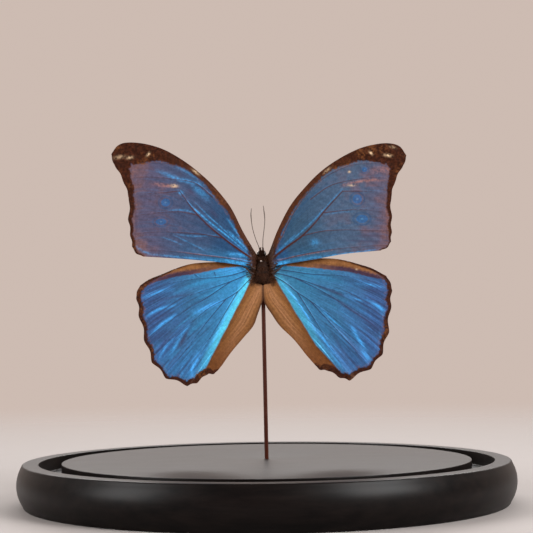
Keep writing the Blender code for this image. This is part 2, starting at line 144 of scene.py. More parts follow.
FOREWING_RIGHT = {
    "root": ((1.4, 6.6), (2.2, 0.9)),
    "front": (
        (1.4, 6.6), (2.9, 7.5), (7.1, 17.9), (12.7, 28.5), (19.3, 36.7), (26.7, 44.0), (35.1, 49.8),
        (44.3, 54.3), (52.0, 56.2), (58.0, 56.5), (62.6, 55.0), (65.5, 50.9),
    ),
    "tips": (
        (65.5, 50.9), (63.7, 45.6), (60.2, 38.7), (58.5, 32.5), (58.6, 23.2),
        (58.4, 16.1), (57.9, 11.8), (53.2, 8.0),
    ),
    "back": ((2.2, 0.9), (9.7, 2.3), (23.5, 4.4), (37.3, 6.7), (53.2, 8.0)),
    "border_front": (2.3, 2.3, 2.3, 2.4, 2.5, 5.2, 9.6, 9.8),
    "border_margin": (6.4, 4.6, 3.7, 2.3, 1.6, 1.3, 1.0, 0.5),
    "stem": ((4.0, 4.6), (11.0, 10.0), (18.0, 15.0), (24.0, 21.0), (29.0, 27.0), (36.5, 35.0)),
    "veins": (
        ((3.6, 6.2), (8.4, 14.0), (14.0, 25.0), (20.0, 33.5), (28.0, 41.0), (39.0, 46.3),
         (49.5, 47.6), (60.5, 47.0)),
        ((22.0, 31.5), (29.5, 36.8), (36.5, 39.2), (49.5, 41.0), (60.0, 40.4)),
        ((36.5, 35.0), (45.0, 34.9), (58.0, 33.9)),
        ((28.0, 25.4), (42.0, 26.6), (51.0, 26.0), (58.2, 24.8)),
        ((18.0, 15.0), (27.0, 17.0), (36.5, 17.5), (44.5, 17.3), (58.0, 16.9)),
        ((4.2, 3.0), (15.5, 6.0), (26.0, 8.0), (36.0, 9.2), (49.0, 10.2), (56.0, 10.4)),
    ),
    "painted_lit_share": 0.55,
    "ocelli": ((43.1, 31.4, 3.5, 1.0), (45.1, 22.4, 3.1, 1.4), (46.6, 44.7, 1.9, 1.1)),
    "painted_highlights": (
        (0.5, 0.3, ((6.8, 7.6), (15.0, 14.6), (22.0, 20.8), (27.6, 26.6), (36.5, 36.2))),
        (1.0, 1.0, ((4.0, 3.0), (8.0, 2.8), (12.0, 3.4))),
        (0.4, 0.6, ((12.0, 3.6), (20.0, 4.8), (30.0, 6.0))),
        (0.6, 0.4, ((20.0, 4.4), (34.0, 6.4), (46.0, 7.7), (53.0, 8.8))),
        (0.6, 1.4, ((22.0, 12.4), (25.4, 12.0))),
        (0.4, 0.4, ((5.4, 6.6), (10.0, 11.0), (15.0, 15.6))),
        (0.25, 0.35, ((28.5, 24.6), (36.0, 25.6), (42.0, 25.6))),
    ),
    "dusks": (
        (0.5, 0.35, ((56.0, 12.0), (56.2, 20.0), (56.4, 30.0), (57.6, 37.0))),
        (0.5, 0.5, ((36.0, 12.8), (45.0, 12.4), (54.0, 12.0))),
        (0.4, 0.5, ((40.0, 14.6), (47.0, 14.8), (55.0, 14.4))),
    ),
    "blushes": (
        (0.7, 0.7, ((36.0, 37.6), (43.0, 39.2), (50.0, 39.9), (57.0, 39.8))),
        (0.5, 1.6, ((50.0, 44.0), (56.0, 44.6), (60.0, 43.0))),
        (0.5, 1.2, ((57.0, 18.0), (57.4, 28.0), (59.0, 36.0))),
        (0.6, 0.3, ((5.3, 4.1), (19.5, 6.6), (33.0, 8.6))),
    ),
    "painted_glints": (
        (49.6, 52.2, 1.0, 0.9, 0.45, -50.0), (57.2, 51.0, 0.8, 1.5, 0.6, -8.0),
        (59.4, 54.8, 0.35, 1.4, 0.5, -20.0), (29.7, 44.6, 0.45, 1.7, 0.5, 40.0),
        (39.7, 43.8, 0.8, 0.6, 0.5, 0.0), (40.6, 37.6, 0.6, 1.7, 0.45, 5.0),
    ),
}
HINDWING_LEFT = {
    "root": ((-2.8, 1.5), (-3.0, -2.2), (-2.2, -5.0), (0.1, -7.2)),
    "front": (
        (-2.8, 1.5), (-10.0, 4.2), (-18.1, 3.8), (-27.7, 3.5), (-33.5, 2.7), (-39.3, 0.9),
        (-45.2, -1.5), (-51.0, -3.8), (-55.1, -6.5),
    ),
    "tips": (
        (-55.1, -6.5), (-56.9, -12.1), (-55.8, -20.2), (-53.4, -31.3), (-50.0, -41.1),
        (-43.8, -48.3), (-34.3, -51.8), (-29.8, -50.5), (-24.6, -46.4), (-20.8, -45.3),
    ),
    "back": (
        (0.1, -7.2), (0.1, -12.8), (-0.9, -16.2), (-2.3, -19.9), (-4.4, -25.2), (-9.1, -30.7),
        (-14.5, -37.0), (-18.7, -42.8), (-20.8, -45.3),
    ),
    "border_front": (0.0, 0.0, 0.0, 0.0, 0.2, 0.6, 1.2, 1.8),
    "border_margin": (2.0, 2.1, 1.9, 1.8, 1.8, 1.8, 2.2, 2.6, 2.6, 1.2),
    "strip": ((-5.0, 2.0), (-18.0, 1.0), (-29.0, -1.4), (-40.0, -2.9), (-49.0, -5.3), (-54.0, -8.0)),
    "fold": ((-6.3, -6.7), (-14.5, -22.3), (-25.8, -43.8)),
    "veins": (
        ((-4.7, 0.6), (-13.5, -2.2), (-21.0, -3.3), (-28.5, -3.7), (-40.0, -5.4), (-55.5, -9.5)),
        ((-4.8, -1.2), (-14.0, -5.0), (-26.0, -9.0), (-40.0, -13.5), (-56.0, -18.5)),
        ((-14.0, -5.0), (-27.0, -13.5), (-40.0, -21.0), (-54.0, -29.5)),
        ((-4.6, -3.0), (-8.0, -6.5), (-11.0, -9.5), (-16.5, -13.0), (-25.0, -17.5), (-36.0, -27.0),
         (-50.2, -39.5)),
        ((-16.5, -13.0), (-25.0, -23.0), (-35.0, -36.0), (-43.8, -47.0)),
        ((-11.0, -9.5), (-19.0, -22.5), (-27.0, -36.0), (-34.0, -50.4)),
        ((-21.5, -1.0), (-21.0, -3.2)),
        ((-30.5, -1.8), (-28.0, -3.6)),
    ),
    "painted_lit_share": 1.0,
    "ocelli": (
        (-25.0, -12.0, 4.6, 1.0), (-44.0, -11.5, 2.8, 1.0), (-43.5, -22.0, 3.4, 1.0),
        (-35.0, -33.0, 3.8, 1.0),
    ),
    "painted_highlights": (
        (1.3, 0.6, ((-8.6, -7.6), (-14.0, -16.2), (-19.5, -26.4), (-24.6, -36.6))),
        (0.9, 1.0, ((-31.5, -19.4), (-25.0, -16.4), (-18.0, -13.9))),
        (1.0, 1.0, ((-32.3, -48.8), (-31.8, -44.0), (-29.0, -37.0))),
        (0.8, 0.7, ((-42.0, -39.5), (-38.5, -32.0), (-33.0, -24.0))),
        (0.9, 0.8, ((-50.8, -29.5), (-46.0, -24.5), (-39.0, -20.0))),
        (0.9, 0.7, ((-53.8, -20.5), (-47.0, -17.4), (-39.0, -15.4))),
        (0.8, 0.8, ((-54.0, -12.0), (-47.0, -9.6), (-40.0, -8.2))),
        (0.7, 0.6, ((-47.5, -41.0), (-43.6, -34.0), (-40.0, -30.0))),
        (0.7, 0.5, ((-27.5, -46.5), (-25.5, -41.5), (-22.0, -34.0))),
        (0.6, 1.5, ((-5.0, 0.4), (-12.0, 0.6), (-19.0, -0.4))),
        (0.6, 0.8, ((-37.5, -48.0), (-36.0, -42.0), (-32.5, -36.0))),
    ),
    "dusks": (
        (1.2, 1.3, ((-38.4, -35.0), (-36.0, -31.0), (-33.8, -27.0))),
        (0.5, 0.6, ((-50.5, -13.9), (-42.0, -12.2), (-30.0, -10.2))),
        (0.5, 0.5, ((-52.5, -24.5), (-45.0, -20.4), (-38.0, -17.8))),
        (0.5, 0.6, ((-44.5, -45.0), (-39.0, -38.0), (-34.5, -32.5))),
        (0.5, 0.8, ((-47.0, -36.0), (-42.5, -30.0), (-38.0, -25.0))),
    ),
    "blushes": (),
    "painted_glints": (),
}
HINDWING_RIGHT = {
    "root": ((2.8, 1.5), (3.0, -2.2), (2.2, -5.0), (0.2, -7.2)),
    "front": (
        (2.8, 1.5), (10.0, 4.0), (18.0, 4.9), (25.6, 4.9), (32.6, 4.6), (38.4, 3.5),
        (43.8, 1.9), (49.2, 0.1), (55.6, -3.4),
    ),
    "tips": (
        (55.6, -3.4), (58.2, -9.9), (57.7, -17.3), (56.5, -28.7), (53.4, -38.6),
        (48.1, -45.1), (38.5, -50.2), (34.0, -48.9), (27.6, -45.3), (23.6, -43.6),
    ),
    "back": (
        (0.2, -7.2), (0.25, -12.8), (1.3, -16.0), (3.9, -20.0), (7.5, -25.3), (14.0, -31.8),
        (19.3, -38.6), (23.6, -43.6),
    ),
    "border_front": (0.0, 0.0, 0.0, 0.0, 0.2, 0.6, 1.2, 1.8),
    "border_margin": (2.0, 2.3, 2.0, 1.9, 1.9, 2.2, 2.4, 2.8, 2.8, 1.2),
    "strip": ((5.0, 2.2), (19.7, 0.9), (31.3, -0.5), (39.1, -1.5), (46.8, -3.5), (54.5, -5.2)),
    "fold": ((6.3, -5.0), (24.0, -34.7), (36.7, -48.6)),
    "veins": (
        ((4.7, 0.4), (15.5, -1.2), (23.0, -2.3), (33.5, -2.9), (45.0, -4.6), (57.0, -8.2)),
        ((4.8, -1.2), (14.0, -3.6), (28.0, -8.4), (42.0, -12.2), (57.4, -16.0)),
        ((14.0, -3.6), (23.0, -8.0), (31.0, -12.6), (42.0, -20.0), (56.0, -30.0)),
        ((4.7, -2.6), (11.0, -6.5), (15.5, -10.3), (21.0, -14.0), (29.0, -20.0), (40.0, -28.5),
         (52.8, -37.6)),
        ((21.0, -14.0), (30.0, -24.0), (39.0, -34.0), (47.2, -43.6)),
        ((15.5, -10.3), (23.0, -22.5), (30.5, -35.5), (38.0, -48.4)),
    ),
    "painted_lit_share": 0.42,
    "ocelli": (
        (25.0, -11.0, 4.6, 1.0), (46.0, -9.0, 2.8, 1.0), (46.0, -20.0, 3.4, 1.0),
        (39.0, -32.0, 3.8, 1.0),
    ),
    "painted_highlights": (
        (1.2, 0.35, ((8.2, -5.6), (14.0, -12.4), (19.0, -19.6), (23.8, -27.6))),
        (1.0, 0.35, ((24.0, -15.6), (30.0, -21.6), (38.0, -29.6))),
        (1.3, 0.8, ((39.5, -26.0), (43.0, -32.0), (47.6, -40.5))),
        (1.2, 1.0, ((48.0, -15.4), (52.5, -18.0), (55.6, -23.0))),
        (0.8, 0.5, ((36.0, -11.4), (42.0, -13.8), (49.0, -14.8))),
        (0.8, 0.5, ((34.0, -17.6), (41.0, -22.8), (49.0, -28.0))),
        (0.8, 0.6, ((24.0, -27.0), (29.0, -34.5), (35.0, -44.0))),
        (0.7, 0.6, ((44.0, -36.5), (47.4, -42.0))),
        (0.7, 0.6, ((42.0, -6.6), (49.0, -7.4), (55.5, -8.6))),
        (0.8, 0.6, ((52.0, -28.0), (53.4, -34.0))),
    ),
    "dusks": (
        (0.8, 0.5, ((22.0, -6.3), (33.0, -10.7), (43.0, -13.9), (55.0, -16.6))),
        (0.8, 0.5, ((29.5, -11.2), (38.0, -17.4), (47.0, -23.6), (54.5, -29.4))),
        (0.5, 0.6, ((44.0, -9.4), (50.0, -10.2), (56.0, -10.9))),
        (0.4, 0.7, ((30.0, -27.0), (34.0, -34.0), (38.0, -42.0))),
        (0.5, 0.5, ((38.0, -31.5), (42.0, -38.0), (45.0, -44.0))),
    ),
    "blushes": (),
    "painted_glints": ((42.3, -0.3, 0.5, 0.5, 0.4, 0.0),),
}
# How deep the margin's hollows are, as a share of the distance between two tips. The first
# and the last of them bulge instead, which rounds the wing's corners
FOREWING_SCALLOP = 0.07
HINDWING_SCALLOP = 0.09
CORNER_BULGES = (-1.0, -2.2)
# Where a wing's surface begins, front to back, and how much it comes forward with each
# millimetre outwards
FOREWING_DEPTH, FOREWING_RISE = -2.4, 0.06
HINDWING_DEPTH, HINDWING_RISE = -1.4, 0.03
# How far the inner fold turns back, and how much further where it is low
FOLD_BACK, FOLD_BACK_LOW = 0.5, 3.0
FOLD_LOW_START, FOLD_LOW_LENGTH = -16.0, 18.0
# How far the forewing's root bends back into the thorax
ROOT_BEND = 2.4
VEIN_HALF_WIDTH, STEM_HALF_WIDTH, RIDGE_SPREAD = 0.17, 0.36, 0.22
# The bare roots: the body's side lies between these heights, and below it they end soon
SIDE_HIGH, SIDE_LOW, FALL_BELOW = 8.0, -5.0, 3.5
# The outlines are drawn as they look from this far in front and this far below the thorax
SEEN_FROM, SEEN_BELOW = 1050.0, 45.0

# Half-widths of the thorax from its top down, in millimetres
THORAX_HEIGHTS = (5.2, 5.0, 4.0, 1.8, -1.4, -4.2, -5.8, -6.6, -7.0)
THORAX_WIDTHS = (0.0, 1.2, 2.2, 3.2, 4.1, 4.1, 3.4, 2.2, 0.0)

ANTENNA_LINES = {
    "antenna_left": ((-1.1, -0.4, 8.6), (-1.6, -0.4, 10.6), (-3.0, -0.6, 14.3), (-4.3, -0.8, 19.0),
                     (-4.9, -0.9, 24.4), (-4.7, -0.9, 27.8)),
    "antenna_right": ((0.4, -0.4, 8.6), (0.3, -0.4, 10.6), (0.4, -0.6, 14.0), (0.9, -0.8, 18.0),
                      (1.3, -0.9, 23.0), (0.7, -0.9, 29.0)),
}
LEG_LINES = {
    "mid": ((1.3, 3.4, 0.4), (3.7, 5.5, 2.4), (3.0, 6.1, 0.2), (2.3, 6.2, -2.4), (1.5, 5.8, -7.3)),
    "hind": ((1.2, 3.2, -2.6), (3.5, 5.3, -4.3), (2.9, 5.7, -6.4), (2.1, 5.8, -9.2),
             (1.2, 5.2, -14.1)),
}
# The small curved struts at the hindwings' roots
STRUTS = {
    "left": ((-9.2, -2.4, 1.5), (-7.2, -2.9, 0.6), (-5.8, -3.1, -1.0), (-4.0, -3.0, -2.0)),
    "left_upper": ((-8.0, -2.6, 2.3), (-6.0, -2.9, 2.2), (-4.6, -2.9, 1.0), (-3.4, -2.8, 0.2)),
    "right": ((10.0, -2.4, 2.3), (8.2, -2.9, 0.8), (6.4, -3.1, -0.8), (4.3, -3.0, -1.8)),
    "right_upper": ((7.4, -2.6, 3.0), (6.2, -2.9, 2.4), (5.2, -2.9, 1.0), (3.8, -2.8, 0.6)),
}
# Half-widths along each kind of limb, evenly spaced, and how many hairs sit on some of them
ANTENNA_RADII = (0.2, 0.18, 0.17, 0.17, 0.18, 0.26, 0.12)
LEG_RADII = (0.32, 0.42, 0.3, 0.24, 0.2, 0.14)
STRUT_RADII = (0.16, 0.36, 0.40, 0.44)
PALP_RADII = (0.35, 0.42, 0.36, 0.1)
TONGUE_RADII = (0.16, 0.13, 0.08)
TONGUE_TURNS, TONGUE_POINTS = 2.6, 60
PALP_HAIRS, LEG_HAIRS = 260, 90

# How finely the round parts are drawn. The pin's head stops short of where its shaft begins
SIDE_STEPS, ROD_STEPS = 24, 32
PIN_HEAD_STEPS, PIN_HEAD_SHORT = 12, 3
STRAIGHT = (0.0, 0.0, 0.0)

# The lights, in metres: where each one is and how large
KEY_PLACE, KEY_SIZE = (1.0, -0.75, 0.75), (0.7, 0.7)
FILL_PLACE, FILL_SIZE = (-1.15, -0.55, 0.55), (0.6, 0.8)
BACK_PLACE, BACK_SIZE = (0.0, 1.9, 1.36), (2.2, 0.3)
LIT_PLACE = (0.0, 0.0, 0.09)
SENSOR_WIDTH = 36.0
# The directions between which the world turns into a wall behind, and the wall into its
# brighter band, which ends again higher up
WALL_BEGINS, BAND_BEGINS, BAND_ENDS = (-0.1, 0.85), (0.3, 0.5), (0.9, 0.65)


# ---------------------------------------------------------------- helpers for shapes


def begin(adder, **settings):
    """Adds a primitive with nothing else selected, and gives back its object."""
    bpy.ops.object.select_all(action="DESELECT")
    adder(**settings)
    return bpy.context.active_object


def settle(piece, name, nodes, finishes, smooth_under=60.0):
    """Names a finished piece, gives it its materials, hangs it under the root and hides the model's
    parts that it stands for.
    """
    bpy.ops.object.select_all(action="DESELECT")
    piece.select_set(True)
    bpy.context.view_layer.objects.active = piece
    bpy.ops.object.transform_apply(location=True, rotation=True, scale=True)
    bpy.ops.object.shade_smooth_by_angle(angle=math.radians(smooth_under))
    piece.name = name
    piece.data.name = name
    piece.data.materials.clear()
    for finish in finishes:
        piece.data.materials.append(finish)
    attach(piece, "root")
    if nodes:
        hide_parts(*nodes)
    return piece


def turned(profile, steps):
    """Draws a profile of (radius, height) points in metres and spins it once round Z."""
    piece = begin(bpy.ops.mesh.primitive_plane_add, size=MM)
    bpy.ops.object.mode_set(mode="EDIT")
    bpy.ops.mesh.select_all(action="SELECT")
    bpy.ops.mesh.merge(type="CENTER")
    here = Vector((profile[0][0], 0.0, profile[0][1]))
    bpy.ops.transform.translate(value=here)
    for radius, height in profile[1:]:
        there = Vector((radius, 0.0, height))
        bpy.ops.mesh.extrude_vertices_move(TRANSFORM_OT_translate={"value": there - here})
        here = there
    bpy.ops.mesh.select_all(action="SELECT")
    bpy.ops.mesh.spin(steps=steps, angle=math.tau, center=(0, 0, 0), axis=(0, 0, 1))
    bpy.ops.mesh.select_all(action="SELECT")
    bpy.ops.mesh.remove_doubles(threshold=0.01 * MM)
    bpy.ops.mesh.normals_make_consistent(inside=False)
    bpy.ops.object.mode_set(mode="OBJECT")
    return piece


def rounded(corners, steps=5):
    """A profile whose inner corners are rounded: corners are (radius, height, rounding)."""
    found = [corners[0][:2]]
    for before, corner, after in zip(corners, corners[1:], corners[2:]):
        place, rounding = Vector(corner[:2]), corner[2]
        if rounding == 0.0:
            found.append(tuple(place))
            continue
        start = place + (Vector(before[:2]) - place).normalized() * rounding
        end = place + (Vector(after[:2]) - place).normalized() * rounding
        for step in range(steps + 1):
            t = step / steps
            found.append(tuple(start * (1 - t) ** 2 + place * 2 * t * (1 - t) + end * t ** 2))
    found.append(corners[-1][:2])
    return found


def read(items, name, size=3):
    """One property of all the vertices or faces of a mesh, as rows of numbers."""
    found = np.empty(len(items) * size, np.float32)
    items.foreach_get(name, found)
    return found.reshape(-1, size)


def coordinates(mesh):
    """The places of the vertices."""
    return read(mesh.vertices, "co").astype(float)


def set_coordinates(mesh, places):
    """Moves the vertices to new places."""
    mesh.vertices.foreach_set("co", places.astype(np.float32).ravel())
    mesh.update()


def keep_values(mesh, name, values):
    """Stores one number for each vertex, for a material to read."""
    made = mesh.attributes.new(name, "FLOAT", "POINT")
    made.data.foreach_set("value", np.asarray(values, np.float32))


def bare_skin(piece, shade):
    """Gives a plain surface the values that the fur's finish reads."""
    count = len(piece.data.vertices)
    keep_values(piece.data, "shade", np.full(count, shade))
    keep_values(piece.data, "toward_tip", np.zeros(count))


def egg(middle, half, segments, rings):
    """A ball of three half sizes, in millimetres around the thorax."""
    piece = begin(bpy.ops.mesh.primitive_uv_sphere_add, segments=segments, ring_count=rings,
                  radius=1.0)
    places = middle + coordinates(piece.data) * half
    set_coordinates(piece.data, places * MM + np.array(BODY))
    return piece


def face_outwards():
    """Turns every face of the active mesh outwards."""
    bpy.ops.object.mode_set(mode="EDIT")
    bpy.ops.mesh.select_all(action="SELECT")
    bpy.ops.mesh.normals_make_consistent(inside=False)
    bpy.ops.object.mode_set(mode="OBJECT")


def unit(vectors):
    """The same directions, each of length 1."""
    return vectors / np.linalg.norm(vectors, axis=1, keepdims=True)


def smooth_line(points, count):
    """Evenly spaced points along a Catmull-Rom curve through the given ones."""
    known = np.array(points, float)
    ends = np.vstack([2 * known[0] - known[1], known, 2 * known[-1] - known[-2]])
    t = np.linspace(0.0, 1.0, 16, endpoint=False)[:, None]
    parts = [
        0.5 * (2 * b + (c - a) * t + (2 * a - 5 * b + 4 * c - d) * t ** 2
               + (3 * b - a - 3 * c + d) * t ** 3)
        for a, b, c, d in zip(ends, ends[1:], ends[2:], ends[3:])
    ]
    fine = np.vstack([*parts, known[-1:]])
    steps = np.linalg.norm(np.diff(fine, axis=0), axis=1)
    lengths = np.concatenate([[0.0], np.cumsum(steps)])
    wanted = np.linspace(0.0, lengths[-1], count)
    return np.column_stack([np.interp(wanted, lengths, axis) for axis in fine.T])


def along(line, share):
    """The points at these shares, 0 to 1, of a line of evenly counted points."""
    places = np.linspace(0.0, 1.0, len(line))
    return np.column_stack([np.interp(share, places, axis) for axis in line.T])


def distance_to(points, line):
    """How far each point is from a line, and the share of the line that is nearest."""
    best = np.full(len(points), np.inf)
    share = np.zeros(len(points))
    for i, (a, b) in enumerate(zip(line, line[1:])):
        edge = b - a
        t = np.clip((points - a) @ edge / max(edge @ edge, 1e-9), 0.0, 1.0)
        gap = np.linalg.norm(points - a - t[:, None] * edge, axis=1)
        nearer = gap < best
        best[nearer] = gap[nearer]
        share[nearer] = (i + t[nearer]) / (len(line) - 1)
    return best, share


def ramped(low, high, values):
    """0 under low, 1 over high, and smooth between them."""
    t = np.clip((values - low) / (high - low), 0.0, 1.0)
    return t * t * (3.0 - 2.0 * t)


def tube(line, radii, sides, rings):
    """A limb along a smooth line in millimetres around the thorax, with round ends."""
    piece = begin(bpy.ops.curve.primitive_nurbs_path_add)
    curve = piece.data
    curve.splines.clear()
    curve.dimensions = "3D"
    curve.bevel_depth = MM
    curve.bevel_resolution = sides
    curve.use_fill_caps = True
    points = smooth_line(line, rings)
    widths = np.interp(np.linspace(0.0, 1.0, rings), np.linspace(0.0, 1.0, len(radii)), radii)
    spline = curve.splines.new("POLY")
    spline.points.add(rings - 1)
    for spot, place, width in zip(spline.points, points, widths):
        spot.co = (*(BODY + Vector(place) * MM), 1.0)
        spot.radius = width
    piece.location = (0.0, 0.0, 0.0)
    bpy.ops.object.convert(target="MESH")
    return bpy.context.active_object


def join(pieces):
    """Joins pieces into the first one."""
    bpy.ops.object.select_all(action="DESELECT")
    for piece in pieces:
        piece.select_set(True)
    bpy.context.view_layer.objects.active = pieces[0]
    bpy.ops.object.join()
    return pieces[0]


def hairs(name, roots, leans, lengths, widths, droop, seed):
    """One mesh of tapered hairs, three-sided, each bent towards droop. All in millimetres."""
    rng = np.random.default_rng(seed)
    count = len(roots)
    lean = unit(leans)
    side = unit(np.cross(lean, rng.normal(size=(count, 3))))
    other = np.cross(lean, side)
    middle = roots + lean * (0.5 * lengths)[:, None]
    tip = roots + lean * lengths[:, None] + np.array(droop) * (0.35 * lengths)[:, None]
    corners = []
    for centre, share in ((roots, 1.0), (middle, 0.75)):
        for turn in (0.0, math.tau / 3, 2 * math.tau / 3):
            around = math.cos(turn) * side + math.sin(turn) * other
            corners.append(centre + around * (share * widths)[:, None])
    corners.append(tip)
    per_hair = len(corners)
    places = np.stack(corners, axis=1).reshape(-1, 3)
    pattern = (
        (0, 1, 4, 3), (1, 2, 5, 4), (2, 0, 3, 5), (3, 4, 6), (4, 5, 6), (5, 3, 6), (2, 1, 0),
    )
    faces = [tuple(per_hair * i + k for k in face) for i in range(count) for face in pattern]
    mesh = bpy.data.meshes.new(name)
    mesh.from_pydata((places * MM + np.array(BODY)).tolist(), [], faces)
    keep_values(mesh, "shade", np.repeat(rng.random(count), per_hair))
    keep_values(mesh, "toward_tip", np.tile((0.0, 0.0, 0.0, 0.5, 0.5, 0.5, 1.0), count))
    made = bpy.data.objects.new(name, mesh)
    bpy.context.collection.objects.link(made)
    return made


# ---------------------------------------------------------------- helpers for materials


class Tree:
    """Short ways to add nodes to one tree and to join them."""

    def __init__(self, tree):
        self.nodes = tree.nodes
        self.links = tree.links

    def add(self, kind, settings=None, **inputs):
        """A new node with its settings and inputs."""
        node = self.nodes.new(kind)
        for name, value in (settings or {}).items():
            setattr(node, name, value)
        self.feed_all(node, inputs)
        return node

    def feed_all(self, node, inputs):
        """Feeds sockets by name, with _ for each space."""
        for name, value in inputs.items():
            self.feed(node.inputs[name.replace("_", " ")], value)

    def feed(self, socket, value):
        """Joins another socket to this one, or sets its plain value."""
        if isinstance(value, bpy.types.NodeSocket):
            self.links.new(value, socket)
        elif socket.type == "RGBA" and len(value) == 3:
            socket.default_value = (*value, 1.0)
        else:
            socket.default_value = value

    def shade(self, name, value):
        """Feeds one socket of the material's main shader."""
        self.feed(self.nodes["Principled BSDF"].inputs[name], value)

    def value(self, name):
        """A number kept on each vertex."""
        return self.add("ShaderNodeAttribute", {"attribute_name": name}).outputs["Fac"]

    def maths(self, operation, first, second=0.0, third=0.0, clamp=False):
        """One step of arithmetic."""
        node = self.nodes.new("ShaderNodeMath")
        node.operation = operation
        node.use_clamp = clamp
        for socket, value in zip(node.inputs, (first, second, third)):
            self.feed(socket, value)
        return node.outputs[0]

    def times(self, first, second, clamp=False):
        """One value multiplied by another."""
        return self.maths("MULTIPLY", first, second, clamp=clamp)

    def scaled(self, value, times, plus):
        """A value multiplied, and then something added."""
        return self.maths("MULTIPLY_ADD", value, times, plus)

    def swayed(self, value, noise, amount):
        """A value moved up and down by a noise."""
        return self.scaled(self.maths("SUBTRACT", noise, 0.5), amount, value)

    def rest(self, value, clamp=False):
        """What a value leaves of 1."""
        return self.maths("SUBTRACT", 1.0, value, clamp=clamp)

    def step(self, low, high, value):
        """0 under low, 1 over high, and smooth between them."""
        node = self.add("ShaderNodeMapRange", {"interpolation_type": "SMOOTHSTEP"}, Value=value)
        for name, limit in (("From Min", low), ("From Max", high), ("To Min", 0.0), ("To Max", 1.0)):
            self.feed(node.inputs[name], limit)
        return node.outputs[0]

    def mix(self, share, first, second, blend="MIX"):
        """Two colours mixed: a share of 0 gives the first."""
        node = self.nodes.new("ShaderNodeMix")
        node.data_type = "RGBA"
        node.blend_type = blend
        self.feed(node.inputs["Factor"], share)
        self.feed(node.inputs[6], first)
        self.feed(node.inputs[7], second)
        return node.outputs[2]

    def ramp(self, share, stops):
        """A colour ramp, whose stops are (place, colour)."""
        node = self.nodes.new("ShaderNodeValToRGB")
        ramp = node.color_ramp
        while len(ramp.elements) < len(stops):
            ramp.elements.new(0.5)
        for element, (place, colour) in zip(ramp.elements, stops):
            element.position = place
            element.color = (*colour, 1.0)
        self.feed(node.inputs["Fac"], share)
        return node.outputs["Color"]

    def place(self):
        """Places on the piece itself, in metres."""
        return self.add("ShaderNodeTexCoord").outputs["Object"]

    def stretched(self, vector, scale):
        """Places counted faster or slower along each axis."""
        return self.add("ShaderNodeMapping", Vector=vector, Scale=scale).outputs[0]

    def noise(self, vector, scale, detail=3.0, rough=0.5):
        """A cloudy noise between 0 and 1."""
        return self.add("ShaderNodeTexNoise", Vector=vector, Scale=scale, Detail=detail,
                        Roughness=rough).outputs["Fac"]

    def bump(self, height, strength, distance, under=None):
        """A relief, which may lie on top of another one."""
        node = self.add("ShaderNodeBump", Height=height, Strength=strength, Distance=distance)
        if under is not None:
            self.links.new(under, node.inputs["Normal"])
        return node.outputs[0]

    def group(self, group, **inputs):
        """A node that uses a whole group of nodes."""
        return self.add("ShaderNodeGroup", {"node_tree": group}, **inputs)


def new_finish(name, **values):
    """A material with one Principled shader, whose plain values are set here."""
    made = bpy.data.materials.new(name)
    made.use_nodes = True
    t = Tree(made.node_tree)
    t.feed_all(t.nodes["Principled BSDF"], values)
    return made, t


def new_group(name, inputs, outputs):
    """A shader node group with named sockets, given as (name, kind, default)."""
    group = bpy.data.node_groups.new(name, "ShaderNodeTree")
    for socket, kind, default in inputs:
        made = group.interface.new_socket(socket, in_out="INPUT", socket_type=kind)
        if default is not None:
            made.default_value = default
    for socket, kind in outputs:
        group.interface.new_socket(socket, in_out="OUTPUT", socket_type=kind)
    tree = Tree(group)
    return group, tree, tree.nodes.new("NodeGroupInput"), tree.nodes.new("NodeGroupOutput")


def scale_rows_group():
    """Tiny overlapping wing scales: a height and a slight change of brightness."""
    found = bpy.data.node_groups.get("scale_rows")
    if found:
        return found
    group, t, given, result = new_group(
        "scale_rows",
        (("Vector", "NodeSocketVector", None), ("Rows", "NodeSocketFloat", 300.0)),
        (("Height", "NodeSocketFloat"), ("Shade", "NodeSocketFloat")),
    )
    cells = t.add("ShaderNodeTexVoronoi", Vector=given.outputs["Vector"],
                  Scale=given.outputs["Rows"])
    speckle = t.noise(given.outputs["Vector"], given.outputs["Rows"], 2.0, 0.6)
    t.links.new(t.rest(cells.outputs["Distance"]), result.inputs["Height"])
    shade = t.scaled(speckle, 0.7, 0.65)
    t.links.new(shade, result.inputs["Shade"])
    return group


def streaks_group():
    """Long soft streaks that run from the wing's root to its margin, by its own map."""
    found = bpy.data.node_groups.get("root_streaks")
    if found:
        return found
    group, t, given, result = new_group(
        "root_streaks",
        (("Map", "NodeSocketVector", None), ("Count", "NodeSocketFloat", 20.0),
         ("Length", "NodeSocketFloat", 1.5)),
        (("Broad", "NodeSocketFloat"), ("Fine", "NodeSocketFloat")),
    )
    split = t.add("ShaderNodeSeparateXYZ", Vector=given.outputs["Map"])
    for name, times in (("Broad", 1.0), ("Fine", 4.0)):
        across = t.times(split.outputs["X"], t.times(given.outputs["Count"], times))
        away = t.times(split.outputs["Y"], given.outputs["Length"])
        place = t.add("ShaderNodeCombineXYZ", X=across, Y=away, Z=times)
        t.links.new(t.noise(place.outputs[0], 1.0, 3.0, 0.55), result.inputs[name])
    return group


